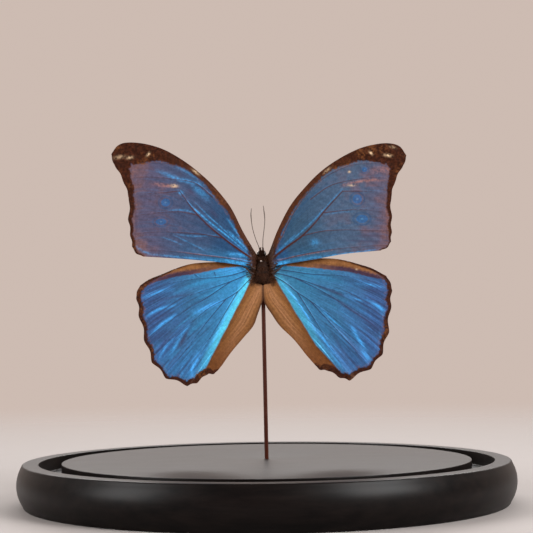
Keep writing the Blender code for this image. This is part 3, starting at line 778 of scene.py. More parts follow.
def wood_finish(s):
    """Turned wood stained near black, under a satin clear coat."""
    made, t = new_finish(
        "stained_wood", Roughness=0.4, Specular_IOR_Level=s.shine, Coat_Roughness=s.coat_roughness,
    )
    place = t.place()
    board = t.stretched(place, (9.0, 90.0, 90.0))
    grain = t.noise(board, 3.0, 6.0, 0.62)
    pores = t.noise(t.stretched(place, (60.0, 900.0, 900.0)), 2.0, 2.0, 0.7)
    colour = t.ramp(grain, ((0.3, s.stain_dark), (0.7, s.stain_light)))
    dark_pores = t.step(0.62, 0.75, pores)
    colour = t.mix(t.times(dark_pores, 0.6), colour, (0.002, 0.0015, 0.0015))
    t.shade("Base Color", colour)
    cloud = t.noise(place, 25.0, 3.0, 0.5)
    rough = t.scaled(cloud, 0.12, s.roughness - 0.06)
    t.shade("Roughness", t.scaled(grain, 0.06, rough))
    t.shade("Coat Weight", t.scaled(cloud, 0.04, s.coat - 0.02))
    relief = t.scaled(dark_pores, -0.6, grain)
    t.shade("Normal", t.bump(relief, 0.25, 0.00004))
    return made


def lacquer_finish(s):
    """The rod's red-brown lacquer, a little drawn along it."""
    made, t = new_finish("rod_lacquer", Metallic=0.2, Roughness=0.38, Specular_IOR_Level=0.15)
    place = t.place()
    drawn = t.noise(t.stretched(place, (900.0, 900.0, 12.0)), 1.0, 3.0, 0.6)
    blotch = t.noise(place, 90.0, 3.0, 0.5)
    colour = t.ramp(drawn, ((0.3, (0.045, 0.011, 0.006)), (0.75, s.rod_colour)))
    colour = t.mix(t.times(t.step(0.55, 0.7, blotch), 0.5), colour, (0.09, 0.03, 0.018))
    t.shade("Base Color", colour)
    t.shade("Roughness", t.scaled(blotch, 0.25, 0.27))
    t.shade("Normal", t.bump(drawn, 0.2, 0.00005))
    return made


def pin_finish():
    """The pin's plain metal, finely scratched."""
    made, t = new_finish("pin_metal", Metallic=1.0, Roughness=0.25)
    place = t.place()
    scratches = t.noise(t.stretched(place, (3000.0, 300.0, 3000.0)), 1.0, 3.0, 0.6)
    colour = t.ramp(scratches, ((0.3, (0.24, 0.19, 0.165)), (0.7, (0.42, 0.34, 0.30))))
    t.shade("Base Color", colour)
    t.shade("Roughness", t.scaled(scratches, 0.2, 0.25))
    return made


def fur_finish(name, dark, light):
    """Hairs, each of its own shade and paler towards its tip."""
    made, t = new_finish(name, Roughness=0.75, Specular_IOR_Level=0.1)
    shade = t.scaled(t.value("toward_tip"), 0.45, t.times(t.value("shade"), 0.6))
    patch = t.noise(t.place(), 420.0, 2.0, 0.5)
    share = t.scaled(patch, 0.5, t.maths("ADD", shade, -0.2))
    t.shade("Base Color", t.ramp(share, ((0.1, dark), (0.95, light))))
    t.shade("Roughness", t.scaled(patch, 0.2, 0.6))
    return made


def skin_finish(name, dark, light, roughness, rings):
    """Horn-like insect skin, ringed across or pitted."""
    made, t = new_finish(name, Roughness=roughness, Specular_IOR_Level=0.5)
    place = t.place()
    pits = t.noise(place, 1500.0, 3.0, 0.6)
    ringed = t.add("ShaderNodeTexWave", {"bands_direction": "Z"}, Vector=place, Scale=rings,
                   Distortion=0.4).outputs["Fac"]
    relief = t.scaled(ringed, 0.7, t.times(pits, 0.5))
    t.shade("Base Color", t.ramp(relief, ((0.2, dark), (0.9, light))))
    t.shade("Roughness", t.scaled(pits, 0.2, roughness - 0.1))
    t.shade("Normal", t.bump(relief, 0.5, 0.00004))
    return made


def eye_finish():
    """Compound eyes: hundreds of dark glossy facets."""
    made, t = new_finish("compound_eye", Roughness=0.18, Coat_Weight=0.4)
    place = t.place()
    facets = t.add("ShaderNodeTexVoronoi", Vector=place, Scale=9000.0).outputs["Distance"]
    colour = t.ramp(facets, ((0.0, (0.03, 0.016, 0.01)), (0.8, (0.008, 0.004, 0.003))))
    t.shade("Base Color", colour)
    t.shade("Roughness", t.scaled(facets, 0.15, 0.12))
    t.shade("Normal", t.bump(t.rest(facets), 0.4, 0.00003))
    return made


def wing_places(t):
    """What both faces of a wing read: its map, streaks, scales and a broad noise."""
    across = t.add("ShaderNodeUVMap").outputs["UV"]
    place = t.place()
    streaks = t.group(streaks_group(), Map=across, Count=16.0, Length=1.6)
    rows = t.group(scale_rows_group(), Vector=place, Rows=5200.0)
    broad = t.noise(place, 110.0, 3.0, 0.55)
    speckle = t.noise(place, 900.0, 3.0, 0.7)
    return streaks, rows, broad, speckle


def ringed_spots(t, colour, distance, rings):
    """Paints rings on the ocelli, whose distance counts 1 at their edge."""
    for inner, outer, tint, strength in rings:
        inside = t.step(inner - 0.07, inner + 0.07, distance)
        outside = t.step(outer - 0.07, outer + 0.07, distance)
        band = t.times(t.maths("SUBTRACT", inside, outside), strength, clamp=True)
        colour = t.mix(band, colour, tint)
    return colour


def bordered(t, colour, broad, speckle, dark, warm):
    """The dark border, ragged inside, with lit golden-brown patches."""
    drawn = t.swayed(t.value("border_mm"), broad, 2.4)
    drawn = t.swayed(drawn, speckle, 2.4)
    fringe = t.times(t.step(-1.4, 0.2, drawn), t.step(0.4, 0.65, speckle))
    colour = t.mix(t.times(fringe, 0.35), colour, warm)
    body = t.step(-0.3, 0.5, drawn)
    shade = t.mix(t.step(0.38, 0.68, speckle), dark, tuple(2.0 * c for c in dark))
    lit = t.times(t.step(0.5, 0.72, broad), t.step(0.35, 0.7, speckle))
    shade = t.mix(t.times(lit, 0.55), shade, warm)
    return t.mix(body, colour, shade), body


def veined(t, colour, vein_colour, low, high, strength):
    """Draws the veins, and gives back where they are too."""
    line = t.rest(t.step(low, high, t.value("vein_mm")))
    return t.mix(t.times(line, strength), colour, vein_colour), line


def rooted(t, colour, speckle, dark):
    """The dark, bare root of a wing beside the body."""
    near = t.swayed(t.value("body_mm"), speckle, 3.5)
    share = t.rest(t.step(4.4, 7.0, near))
    return t.mix(share, colour, dark), share


def worn(t, colour, rows, speckle):
    """Mottles the scales: rows of them, and small patches that are lighter or darker."""
    mottle = t.scaled(speckle, 1.1, 0.45)
    return t.mix(1.0, colour, t.times(mottle, rows.outputs["Shade"]), "MULTIPLY")


def stroked_over(t, colour, grain, marks):
    """Paints soft strokes, kept on the vertices, broken up by a grain."""
    broken = t.step(0.35, 0.6, grain)
    for name, tint, least in marks:
        patchy = t.scaled(broken, 1.0 - least, least)
        colour = t.mix(t.times(t.value(name), patchy, clamp=True), colour, tint)
    return colour


def forewing_upper_finish(s):
    """Steel blue scales turning lilac grey outward, with a chocolate border."""
    made, t = new_finish("forewing_upper", Specular_IOR_Level=0.15)
    streaks, rows, broad, speckle = wing_places(t)
    reach, chord = t.value("reach"), t.value("chord")
    drift = t.swayed(reach, broad, 0.4)
    colour = t.ramp(drift, (
        (0.0, s.near_blue), (0.14, s.near_blue), (0.36, s.middle_blue), (0.62, s.outer_blue),
        (0.86, s.lilac), (1.0, s.warm_lilac),
    ))
    # Painted shade: the less lit wing turns slate. Along its back edge the lit wing is painted
    # brighter, a painted highlight
    painted_shade = t.times(t.rest(t.value("painted_lit_share")), t.step(0.1, 0.3, drift))
    painted_shade = t.times(painted_shade, t.times(t.step(1.0, 0.72, drift), 1.6), clamp=True)
    colour = t.mix(painted_shade, colour, t.ramp(drift, ((0.3, s.dark_slate), (0.6, s.slate))))
    low = t.times(t.step(0.66, 1.0, chord), t.step(0.8, 0.2, reach))
    low = t.times(low, t.times(t.value("painted_lit_share"), 0.8))
    colour = t.mix(low, colour, s.root_blue)
    fine = t.step(0.42, 0.72, streaks.outputs["Fine"])
    colour = t.mix(t.times(fine, 0.35), colour, s.crest_blue)
    bands = t.times(t.step(0.5, 0.75, streaks.outputs["Broad"]), t.step(0.95, 0.35, reach))
    colour = t.mix(t.times(bands, 0.4), colour, s.near_blue)
    warmth = t.times(t.step(0.52, 0.7, broad), t.step(0.35, 0.9, reach))
    colour = t.mix(t.times(warmth, 0.4), colour, s.warm_lilac)
    colour = ringed_spots(t, colour, t.value("ocellus"), (
        (0.78, 1.02, s.near_blue, 0.4), (0.18, 0.6, s.ocellus_blue, 0.75),
        (-0.5, 0.14, s.gleam_blue, 0.4),
    ))
    # The bright strokes are painted highlights where the blue scales catch the light
    colour = stroked_over(t, colour, speckle, (
        ("dusks", s.dusk, 0.5), ("blushes", s.blush, 0.25), ("painted_highlights", s.gleam_blue, 0.45),
    ))
    colour, vein = veined(t, colour, s.vein_brown, -0.05, 0.13, 0.75)
    colour = t.mix(t.value("stem"), colour, s.vein_brown)
    colour, border = bordered(t, colour, broad, speckle, s.border_brown, s.border_warm)
    costa = t.times(border, t.step(0.8, 0.3, reach))
    colour = t.mix(t.times(costa, 0.6), colour, s.costa_brown)
    colour, rooty = rooted(t, colour, speckle, s.root_brown)
    # Small gold painted glints: painted highlights where the membrane catches the light
    shine = t.times(t.value("painted_glints"), t.step(0.3, 0.55, speckle))
    colour = t.mix(shine, colour, s.painted_glint_gold)
    colour = worn(t, colour, rows, speckle)
    t.shade("Base Color", colour)
    bare = t.maths("MAXIMUM", border, t.maths("MAXIMUM", vein, rooty))
    scaled = t.rest(bare, clamp=True)
    t.shade("Metallic", t.times(scaled, s.metal_share))
    rough = t.scaled(speckle, 0.15, s.scale_roughness)
    t.shade("Roughness", rough)
    relief = t.bump(streaks.outputs["Fine"], 0.35, 0.00015)
    t.shade("Normal", t.bump(rows.outputs["Height"], 0.25, 0.00003, relief))
    return made


def hindwing_upper_finish(s):
    """Azure scales with radial folds, a cyan crest painted as a highlight, a tan inner fold with
    painted shading and a dark border.
    """
    made, t = new_finish("hindwing_upper", Specular_IOR_Level=0.15)
    streaks, rows, broad, speckle = wing_places(t)
    reach, chord, painted_lit_share = t.value("reach"), t.value("chord"), t.value("painted_lit_share")
    past = t.value("fold_mm")
    drift = t.swayed(reach, broad, 0.35)
    # A lit copy and a painted-shade copy of the blue, mixed by how lit the wing is painted
    stops = (0.0, 0.3, 0.62, 0.88)
    bright = t.ramp(drift, tuple(zip(stops, (s.hind_root, s.hind_middle, s.hind_outer,
                                             s.hind_margin))))
    painted_shade = t.ramp(drift, tuple(zip(stops, (s.shaded_hind_root, s.shaded_hind_middle, s.hind_outer,
                                           s.hind_margin))))
    colour = t.mix(painted_lit_share, painted_shade, bright)
    # Painted highlights on the lit wing, towards the inner fold and along broad streaks
    inner = t.times(t.step(0.4, 0.85, chord), painted_lit_share)
    colour = t.mix(t.times(inner, 0.6), colour, s.hind_painted_highlight)
    fine = streaks.outputs["Fine"]
    light = t.times(t.step(0.5, 0.68, fine), t.step(0.1, 0.85, reach))
    dark = t.times(t.step(0.5, 0.34, fine), t.step(0.15, 0.8, reach))
    colour = t.mix(t.times(dark, 0.75), colour, s.hind_shadow)
    colour = t.mix(t.times(light, 0.7), colour, s.hind_violet)
    broad_light = t.times(t.step(0.5, 0.72, streaks.outputs["Broad"]), painted_lit_share)
    colour = t.mix(t.times(broad_light, 0.5), colour, s.hind_painted_highlight)
    # The bright strokes are painted highlights where the blue scales catch the light
    colour = stroked_over(t, colour, fine, (
        ("dusks", s.dusk, 0.4), ("painted_highlights", s.hind_flash, 0.15),
    ))
    # A painted highlight along the ridge beside the inner fold, strongest on the lit wing
    crest = t.times(t.step(-4.2, -0.8, past), t.step(1.1, 0.45, reach))
    crest = t.times(crest, t.scaled(fine, 0.6, 0.6), clamp=True)
    crest = t.times(crest, painted_lit_share)
    colour = t.mix(crest, colour, s.cyan_crest_highlight)
    colour, vein = veined(t, colour, s.hind_vein, -0.05, 0.12, 0.8)
    edge = t.swayed(past, broad, 1.2)
    tan = t.step(-0.5, 0.4, edge)
    # The inner fold's painted shading: pale in its middle and dark at its edges, with dark painted
    # streaks of shade, and a painted shadow where the two folds meet by the body
    satin = t.ramp(t.times(past, 0.1), (
        (0.0, s.tan_dark), (0.22, s.tan_light), (0.5, s.tan_pale), (0.8, s.tan_light),
        (1.0, s.tan_dark),
    ))
    satin = t.mix(t.times(t.step(0.62, 0.4, fine), 0.5), satin, s.tan_dark)
    satin = t.mix(t.times(t.step(0.3, 1.0, reach), 0.9), satin, s.tan_low)
    centre = t.times(t.step(0.9, 1.0, chord), t.step(0.6, 0.1, reach))
    satin = t.mix(t.times(centre, 0.85), satin, s.root_brown)
    colour = t.mix(tan, colour, satin)
    strip_line = t.swayed(t.value("strip_mm"), speckle, 1.4)
    strip = t.step(-0.3, 0.4, strip_line)
    dusky = t.times(t.step(2.9, 1.3, strip_line), t.step(0.25, 0.6, reach))
    strip_colour = t.mix(t.step(0.35, 0.65, broad), s.tan_light, s.tan_dark)
    strip_colour = t.mix(dusky, strip_colour, s.strip_dusk)
    colour = t.mix(strip, colour, strip_colour)
    colour, border = bordered(t, colour, broad, speckle, s.border_brown, s.border_warm)
    colour, rooty = rooted(t, colour, speckle, s.root_brown)
    # Small gold painted glints: painted highlights where the membrane catches the light
    colour = t.mix(t.value("painted_glints"), colour, s.painted_glint_gold)
    colour = worn(t, colour, rows, speckle)
    t.shade("Base Color", colour)
    bare = t.maths("MAXIMUM", t.maths("MAXIMUM", border, rooty), t.maths("MAXIMUM", tan, strip))
    scaled = t.rest(t.maths("MAXIMUM", bare, vein), clamp=True)
    t.shade("Metallic", t.times(scaled, s.metal_share))
    rough = t.scaled(speckle, 0.15, s.scale_roughness)
    t.shade("Roughness", t.scaled(bare, 0.08, rough))
    relief = t.bump(fine, 0.5, 0.00025)
    t.shade("Normal", t.bump(rows.outputs["Height"], 0.25, 0.00003, relief))
    return made


def underside_finish(s):
    """The brown underside, with ringed eyespots and pale bands."""
    made, t = new_finish("wing_underside", Specular_IOR_Level=0.4)
    streaks, rows, broad, speckle = wing_places(t)
    reach = t.value("reach")
    colour = t.ramp(broad, ((0.3, s.under_dark), (0.7, s.under_light)))
    wave = t.swayed(reach, broad, 0.12)
    for place in (0.45, 0.88):
        band = t.maths("SUBTRACT", t.step(place - 0.04, place, wave),
                       t.step(place + 0.01, place + 0.05, wave))
        colour = t.mix(t.times(band, 0.6), colour, s.under_pale)
    colour = ringed_spots(t, colour, t.times(t.value("ocellus"), 0.8), (
        (0.92, 1.12, s.under_pale, 0.7), (0.66, 0.92, (0.25, 0.13, 0.03), 0.9),
        (0.2, 0.66, (0.008, 0.006, 0.006), 0.95), (-0.5, 0.16, (0.7, 0.66, 0.6), 0.9),
    ))
    colour = veined(t, colour, s.vein_brown, -0.05, 0.2, 0.7)[0]
    colour = bordered(t, colour, broad, speckle, s.border_brown, s.under_light)[0]
    colour = t.mix(0.6, colour, t.mix(1.0, colour, rows.outputs["Shade"], "MULTIPLY"))
    t.shade("Base Color", colour)
    t.shade("Roughness", t.scaled(speckle, 0.2, 0.5))
    relief = t.bump(streaks.outputs["Fine"], 0.3, 0.00012)
    t.shade("Normal", t.bump(rows.outputs["Height"], 0.25, 0.00003, relief))
    return made


# ---------------------------------------------------------------- settings


def colour_setting(name, value, description):
    """A colour, as linear red, green and blue."""
    return FloatVectorProperty(
        name=name, description=description, subtype="COLOR", size=3, min=0.0, max=1.0,
        default=value,
    )


def number_setting(name, value, description, unit="NONE"):
    """A number, of a unit if it has one."""
    return FloatProperty(name=name, description=description, unit=unit, default=value)


def length_setting(name, value, description):
    """A length in metres."""
    return number_setting(name, value, description, "LENGTH")


def count_setting(name, value, description, least):
    """A whole number with a least value."""
    return IntProperty(name=name, description=description, default=value, min=least)


class BaseSettings(bpy.types.PropertyGroup):
    """The turned base and the rod."""
    side_arc: length_setting("Side arc", 0.015, "Radius of the bullnose side")
    side_arc_height: length_setting("Arc height", 0.0097, "Height of the widest place of the side")
    edge_rounding: length_setting("Edge rounding", 0.0006, "How far the crisp edges are broken")
    groove_outer: length_setting("Groove outside", 0.1005, "Radius of the groove's outer wall")
    groove_inner: length_setting("Groove inside", 0.0906, "Radius of the groove's inner wall")
    groove_depth: length_setting("Groove depth", 0.006, "Depth of the groove for the dome's rim")
    socket_depth: length_setting("Socket depth", 0.006, "Depth of the rod's hole")
    socket_radius: length_setting("Socket radius", 0.0012, "Radius of the rod's hole")
    turning_steps: count_setting("Turning steps", 256, "Faces round the base", 32)
    rod_radius: length_setting("Rod radius", 0.0009, "Radius of the rod")
    roughness: number_setting("Wood roughness", 0.36, "Roughness of the stained wood")
    shine: number_setting("Wood shine", 0.09, "Specular level of the stained wood")
    coat: number_setting("Clear coat", 0.05, "Weight of the satin clear coat")
    coat_roughness: number_setting("Coat roughness", 0.28, "Roughness of the clear coat")
    stain_dark: colour_setting("Dark stain", (0.0015, 0.001, 0.001), "Darkest stain")
    stain_light: colour_setting("Light stain", (0.008, 0.0052, 0.0045), "Lightest stain")
    rod_colour: colour_setting("Rod", (0.070, 0.015, 0.007), "Lacquer of the rod")


class BodySettings(bpy.types.PropertyGroup):
    """The furry body and its limbs."""
    thorax_hairs: count_setting("Thorax hairs", 7500, "How many hairs the thorax has", 100)
    head_hairs: count_setting("Head hairs", 1500, "How many hairs the head has", 50)
    root_hairs: count_setting("Wing root hairs", 700, "How many hairs each wing root has", 50)
    hair_length: length_setting("Hair length", 0.0014, "Length of the thorax hairs")
    hair_width: length_setting("Hair width", 0.00004, "Half-thickness of a hair")
    fur_dark: colour_setting("Dark fur", (0.008, 0.003, 0.0015), "Fur near the skin")
    fur_light: colour_setting("Light fur", (0.095, 0.038, 0.020), "Fur at its tips")
    root_dark: colour_setting("Dark root hair", (0.03, 0.009, 0.004), "Wing root hair, dark")
    root_light: colour_setting("Light root hair", (0.16, 0.07, 0.035), "Wing root hair, light")


class WingSettings(bpy.types.PropertyGroup):
    """The wings' mesh and colours."""
    steps_across: count_setting("Steps across", 170, "Faces from front to back edge", 20)
    steps_along: count_setting("Steps along", 180, "Faces from root to margin", 20)
    thickness: length_setting("Membrane", 0.00014, "Thickness of the membrane")
    vein_height: length_setting("Vein height", 0.00013, "How far a vein stands proud")
    metal_share: number_setting("Metal share", 0.25, "How metallic the scales look")
    scale_roughness: number_setting("Scale roughness", 0.36, "Roughness of the scales")
    root_blue: colour_setting("Root blue", (0.030, 0.20, 0.40), "Forewing along its back edge")
    near_blue: colour_setting("Near blue", (0.018, 0.072, 0.18), "Forewing near the root")
    middle_blue: colour_setting("Middle blue", (0.028, 0.064, 0.14), "Forewing middle")
    outer_blue: colour_setting("Outer blue", (0.058, 0.078, 0.150), "Forewing outer part")
    lilac: colour_setting("Lilac", (0.098, 0.083, 0.140), "Forewing outer third")
    warm_lilac: colour_setting("Warm lilac", (0.17, 0.092, 0.100), "Forewing beside the border")
    slate: colour_setting("Slate", (0.072, 0.120, 0.190), "The less lit forewing")
    dark_slate: colour_setting("Dark slate", (0.038, 0.080, 0.120), "The same, nearer its root")
    crest_blue: colour_setting("Crest blue", (0.045, 0.125, 0.26), "Lighter rows of scales")
    # Painted highlights on the forewing's blue
    gleam_blue: colour_setting("Gleam", (0.065, 0.38, 0.80), "Bright ridges beside the veins")
    ocellus_blue: colour_setting("Ocellus", (0.028, 0.12, 0.31), "Faint spots seen through")
    dusk: colour_setting("Dusk", (0.05, 0.032, 0.07), "Dusky marks")
    blush: colour_setting("Blush", (0.38, 0.16, 0.12), "Warm, worn marks")
    vein_brown: colour_setting("Vein brown", (0.065, 0.018, 0.014), "Forewing veins")
    root_brown: colour_setting("Root brown", (0.035, 0.011, 0.006), "Bare wing roots")
    border_brown: colour_setting("Border brown", (0.026, 0.006, 0.002), "Dark border")
    costa_brown: colour_setting("Costa brown", (0.078, 0.024, 0.009), "Front edge near the root")
    border_warm: colour_setting("Warm border", (0.22, 0.080, 0.022), "Lit parts of the border")
    # The colour of the painted glints, gold painted highlights
    painted_glint_gold: colour_setting("Rubbed gold", (0.80, 0.56, 0.34), "Rubbed shiny spots")
    hind_root: colour_setting("Hind root", (0.05, 0.30, 0.62), "Hindwing at the root")
    hind_middle: colour_setting("Hind middle", (0.045, 0.25, 0.50), "Hindwing middle")
    hind_outer: colour_setting("Hind outer", (0.042, 0.145, 0.29), "Hindwing outer part")
    hind_margin: colour_setting("Hind margin", (0.048, 0.115, 0.29), "Hindwing by the border")
    # The hindwing's blue in painted shade, for the less lit wing
    shaded_hind_root: colour_setting("Dull root", (0.045, 0.115, 0.155), "Less lit hindwing at the root")
    shaded_hind_middle: colour_setting("Dull middle", (0.034, 0.125, 0.19), "Less lit hindwing middle")
    # Painted highlight on the hindwing's blue
    hind_painted_highlight: colour_setting("Hind bright", (0.045, 0.33, 0.66), "Hindwing bright scales")
    hind_shadow: colour_setting("Hind shadow", (0.035, 0.055, 0.13), "Hindwing fold shadows")
    hind_violet: colour_setting("Hind violet", (0.055, 0.21, 0.52), "Hindwing fold lights")
    # Painted highlights on the hindwing's folds
    hind_flash: colour_setting("Hind flash", (0.08, 0.42, 0.95), "Hindwing brightest folds")
    # Painted highlight along the hindwing's crest
    cyan_crest_highlight: colour_setting("Cyan crest", (0.11, 0.66, 0.93), "Crest beside the inner fold")
    hind_vein: colour_setting("Hind vein", (0.02, 0.02, 0.06), "Hindwing veins")
    # The inner fold's colours; its pale middle and dark edges are painted shading
    tan_pale: colour_setting("Pale tan", (0.37, 0.17, 0.075), "Inner fold, middle")
    tan_light: colour_setting("Light tan", (0.25, 0.105, 0.034), "Inner fold")
    tan_dark: colour_setting("Dark tan", (0.14, 0.050, 0.013), "Inner fold, edges")
    tan_low: colour_setting("Low tan", (0.13, 0.040, 0.010), "Inner fold near its tip")
    strip_dusk: colour_setting("Strip dusk", (0.055, 0.028, 0.05), "Lower part of the front strip")
    under_dark: colour_setting("Under dark", (0.045, 0.022, 0.012), "Underside, dark")
    under_light: colour_setting("Under light", (0.12, 0.062, 0.032), "Underside, light")
    under_pale: colour_setting("Under pale", (0.34, 0.25, 0.17), "Underside, pale bands")


class StageSettings(bpy.types.PropertyGroup):
    """The floor, the light and the camera."""
    backdrop: colour_setting("Backdrop", (0.610, 0.500, 0.445), "Colour behind the object")
    floor: colour_setting("Floor", (0.36, 0.325, 0.31), "Colour of the floor")
    floor_radius: length_setting("Floor radius", 1.15, "Where the floor has faded out")
    ambient_colour: colour_setting("Ambient colour", (0.54, 0.49, 0.47), "Light from all round")
    ambient: number_setting("Ambient", 0.3, "Strength of the light from all round")
    key_power: number_setting("Key light", 27.0, "Power of the front light", "POWER")
    fill_power: number_setting("Fill light", 16.5, "Power of the other front light", "POWER")
    wall_light: number_setting("Wall light", 1.0, "How much light the wall behind gives")
    upper_light: number_setting("Upper wall", 2.8, "How much light it gives higher up")
    back_power: number_setting("Back light", 42.0, "Power of the wide light behind", "POWER")
    camera_side: length_setting("Camera side", 0.0009, "Right of the base's middle")
    camera_distance: length_setting("Camera distance", 0.582, "From the rod, level")
    camera_height: length_setting("Camera height", 0.0673, "Above the floor")
    camera_pitch: number_setting("Camera pitch", 3.65, "Upward tilt in degrees")
    camera_roll: number_setting("Camera roll", -0.65, "Roll in degrees")
    lens: number_setting("Lens", 87.27, "Focal length in millimetres on a 36 mm sensor")


# ---------------------------------------------------------------- the pieces


def base_profile(s):
    """The base's outline from the middle of its underside to the bottom of the rod's hole."""
    height, radius = BASE_HIGH.z, BASE_HIGH.x
    edge, arc, middle = s.edge_rounding, s.side_arc, s.side_arc_height
    low = math.asin((edge - middle) / arc)
    high = math.asin((height - edge - middle) / arc)
    corners = [(0.0, 0.0, 0.0)]
    side = []
    for step in range(SIDE_STEPS + 1):
        angle = low + (high - low) * step / SIDE_STEPS
        side.append((radius - arc * (1 - math.cos(angle)), middle + arc * math.sin(angle), 0.0))
    corners.append((side[0][0], 0.0, edge))
    corners += side[1:-1]
    corners.append((side[-1][0] - edge * 0.2, height, edge))
    floor = height - s.groove_depth
    corners += [
        (s.groove_outer, height, edge / 2), (s.groove_outer, floor, edge),
        (s.groove_inner, floor, edge), (s.groove_inner, height, edge / 2),
        (s.socket_radius, height, edge / 4), (s.socket_radius, height - s.socket_depth, 0.0),
        (0.0, height - s.socket_depth, 0.0),
    ]
    return rounded(corners)


class BUTTERFLY_OT_base(bpy.types.Operator):
    """Turn the dark wooden base with its groove for a dome"""
    bl_idname = "butterfly.base"
    bl_label = "Turned base"

    def execute(self, context):
        s = context.scene.butterfly_base
        piece = turned(base_profile(s), s.turning_steps)
        settle(piece, "turned_base", ["base"], [wood_finish(s)], 35.0)
        return {"FINISHED"}


class BUTTERFLY_OT_rod(bpy.types.Operator):
    """Make the thin leaning rod and the insect pin"""
    bl_idname = "butterfly.rod"
    bl_label = "Rod and pin"

    def execute(self, context):
        s = context.scene.butterfly_base
        radius = s.rod_radius
        corners = [
            (0.0, ROD_LOW.z, 0.0), (radius, ROD_LOW.z, radius / 3),
            (radius, (ROD_LOW.z + ROD_HIGH.z) / 2, 0.0), (radius, ROD_HIGH.z, radius / 3),
            (0.0, ROD_HIGH.z, 0.0),
        ]
        piece = turned(rounded(corners), ROD_STEPS)
        places = coordinates(piece.data)
        lean = (ROD_LOW.x + radius) / (ROD_HIGH.z - BASE_HIGH.z)
        places[:, 0] += lean * (places[:, 2] - BASE_HIGH.z)
        set_coordinates(piece.data, places)
        settle(piece, "mounting_rod", ["rod"], [lacquer_finish(s)], 50.0)
        head = (PIN_HIGH.x - PIN_LOW.x) / 2
        length = PIN_HIGH.y - PIN_LOW.y
        profile = [(0.0, 0.0)]
        for step in range(1, PIN_HEAD_STEPS + 1):
            angle = math.pi * step / (PIN_HEAD_STEPS + PIN_HEAD_SHORT)
            profile.append((head * math.sin(angle), head * (1 - math.cos(angle))))
        profile += [(head / 2, 2 * head), (head / 2, length - head), (0.0, length)]
        pin = turned(profile, ROD_STEPS)
        middle = Vector(((PIN_LOW.x + PIN_HIGH.x) / 2, PIN_LOW.y, (PIN_LOW.z + PIN_HIGH.z) / 2))
        pin.data.transform(
            Matrix.Translation(middle) @ Matrix.Rotation(math.radians(-90), 4, "X"))
        settle(pin, "insect_pin", ["pin"], [pin_finish()], 50.0)
        return {"FINISHED"}


def thorax_surface(shares, turns, inset):
    """Points on the thorax, in millimetres, and which way its surface faces there."""
    heights, widths = np.array(THORAX_HEIGHTS), np.array(THORAX_WIDTHS)
    z = THORAX_TOP - THORAX_LENGTH * shares
    radius = np.maximum(np.interp(-z, -heights, widths) - inset, 0.05)
    x, y = radius * np.cos(turns), 0.95 * radius * np.sin(turns)
    slope = np.interp(-z, -heights, np.gradient(widths, heights))
    facing = unit(np.column_stack([np.cos(turns), np.sin(turns), -slope]))
    return np.column_stack([x, y, z * (1 - 0.06 * inset)]), facing


class BUTTERFLY_OT_thorax(bpy.types.Operator):
    """Shape the furry thorax"""
    bl_idname = "butterfly.thorax"
    bl_label = "Thorax"

    def execute(self, context):
        s = context.scene.butterfly_body
        skin = begin(bpy.ops.mesh.primitive_uv_sphere_add, segments=64, ring_count=48, radius=1.0)
        ball = coordinates(skin.data)
        turns = np.arctan2(ball[:, 1], ball[:, 0])
        shares = np.arccos(np.clip(ball[:, 2], -1.0, 1.0)) / math.pi
        places = thorax_surface(shares, turns, 0.45)[0]
        lumps = 0.15 * np.sin(1.9 * places[:, 2] + 1.0) * np.cos(2 * turns)
        places[:, 0] += lumps * np.cos(turns)
        places[:, 1] += lumps * np.sin(turns)
        set_coordinates(skin.data, places * MM + np.array(BODY))
        bare_skin(skin, 0.2)
        rng = np.random.default_rng(11)
        count = s.thorax_hairs
        shares = np.arccos(1 - 2 * rng.random(count) * 0.995) / math.pi
        turns = rng.random(count) * math.tau
        roots, facing = thorax_surface(shares, turns, 0.6)
        leans = 0.42 * facing + np.array((0.0, 0.0, -1.0)) + 0.22 * rng.normal(size=(count, 3))
        lengths = s.hair_length / MM * (0.5 + 0.6 * rng.random(count))
        lengths *= np.clip((roots[:, 2] + 8.0) / 4.5, 0.15, 1.0)
        widths = s.hair_width / MM * (0.8 + 0.5 * rng.random(count))
        fur = hairs("thorax_fur", roots, leans, lengths, widths, (0.0, 0.0, -0.3), 12)
        piece = join([skin, fur])
        finish = fur_finish("thorax_fur", s.fur_dark[:], s.fur_light[:])
        settle(piece, "furry_thorax", ["thorax"], [finish])
        middle, half = np.array((-0.15, 0.0, 5.2)), np.array((2.0, 1.8, 1.3))
        neck = egg(middle, half, 40, 20)
        bare_skin(neck, 0.2)
        spots = unit(rng.normal(size=(s.head_hairs, 3)))
        leans = 0.6 * spots + np.array((0.0, 0.0, -0.5)) + 0.25 * rng.normal(size=spots.shape)
        ruff = hairs("neck_fur", middle + spots * half * 0.95, leans,
                     1.1 * (0.5 + 0.6 * rng.random(len(spots))),
                     np.full(len(spots), s.hair_width / MM), (0.0, 0.0, -0.2), 13)
        settle(join([neck, ruff]), "furry_collar", [], [finish])
        return {"FINISHED"}


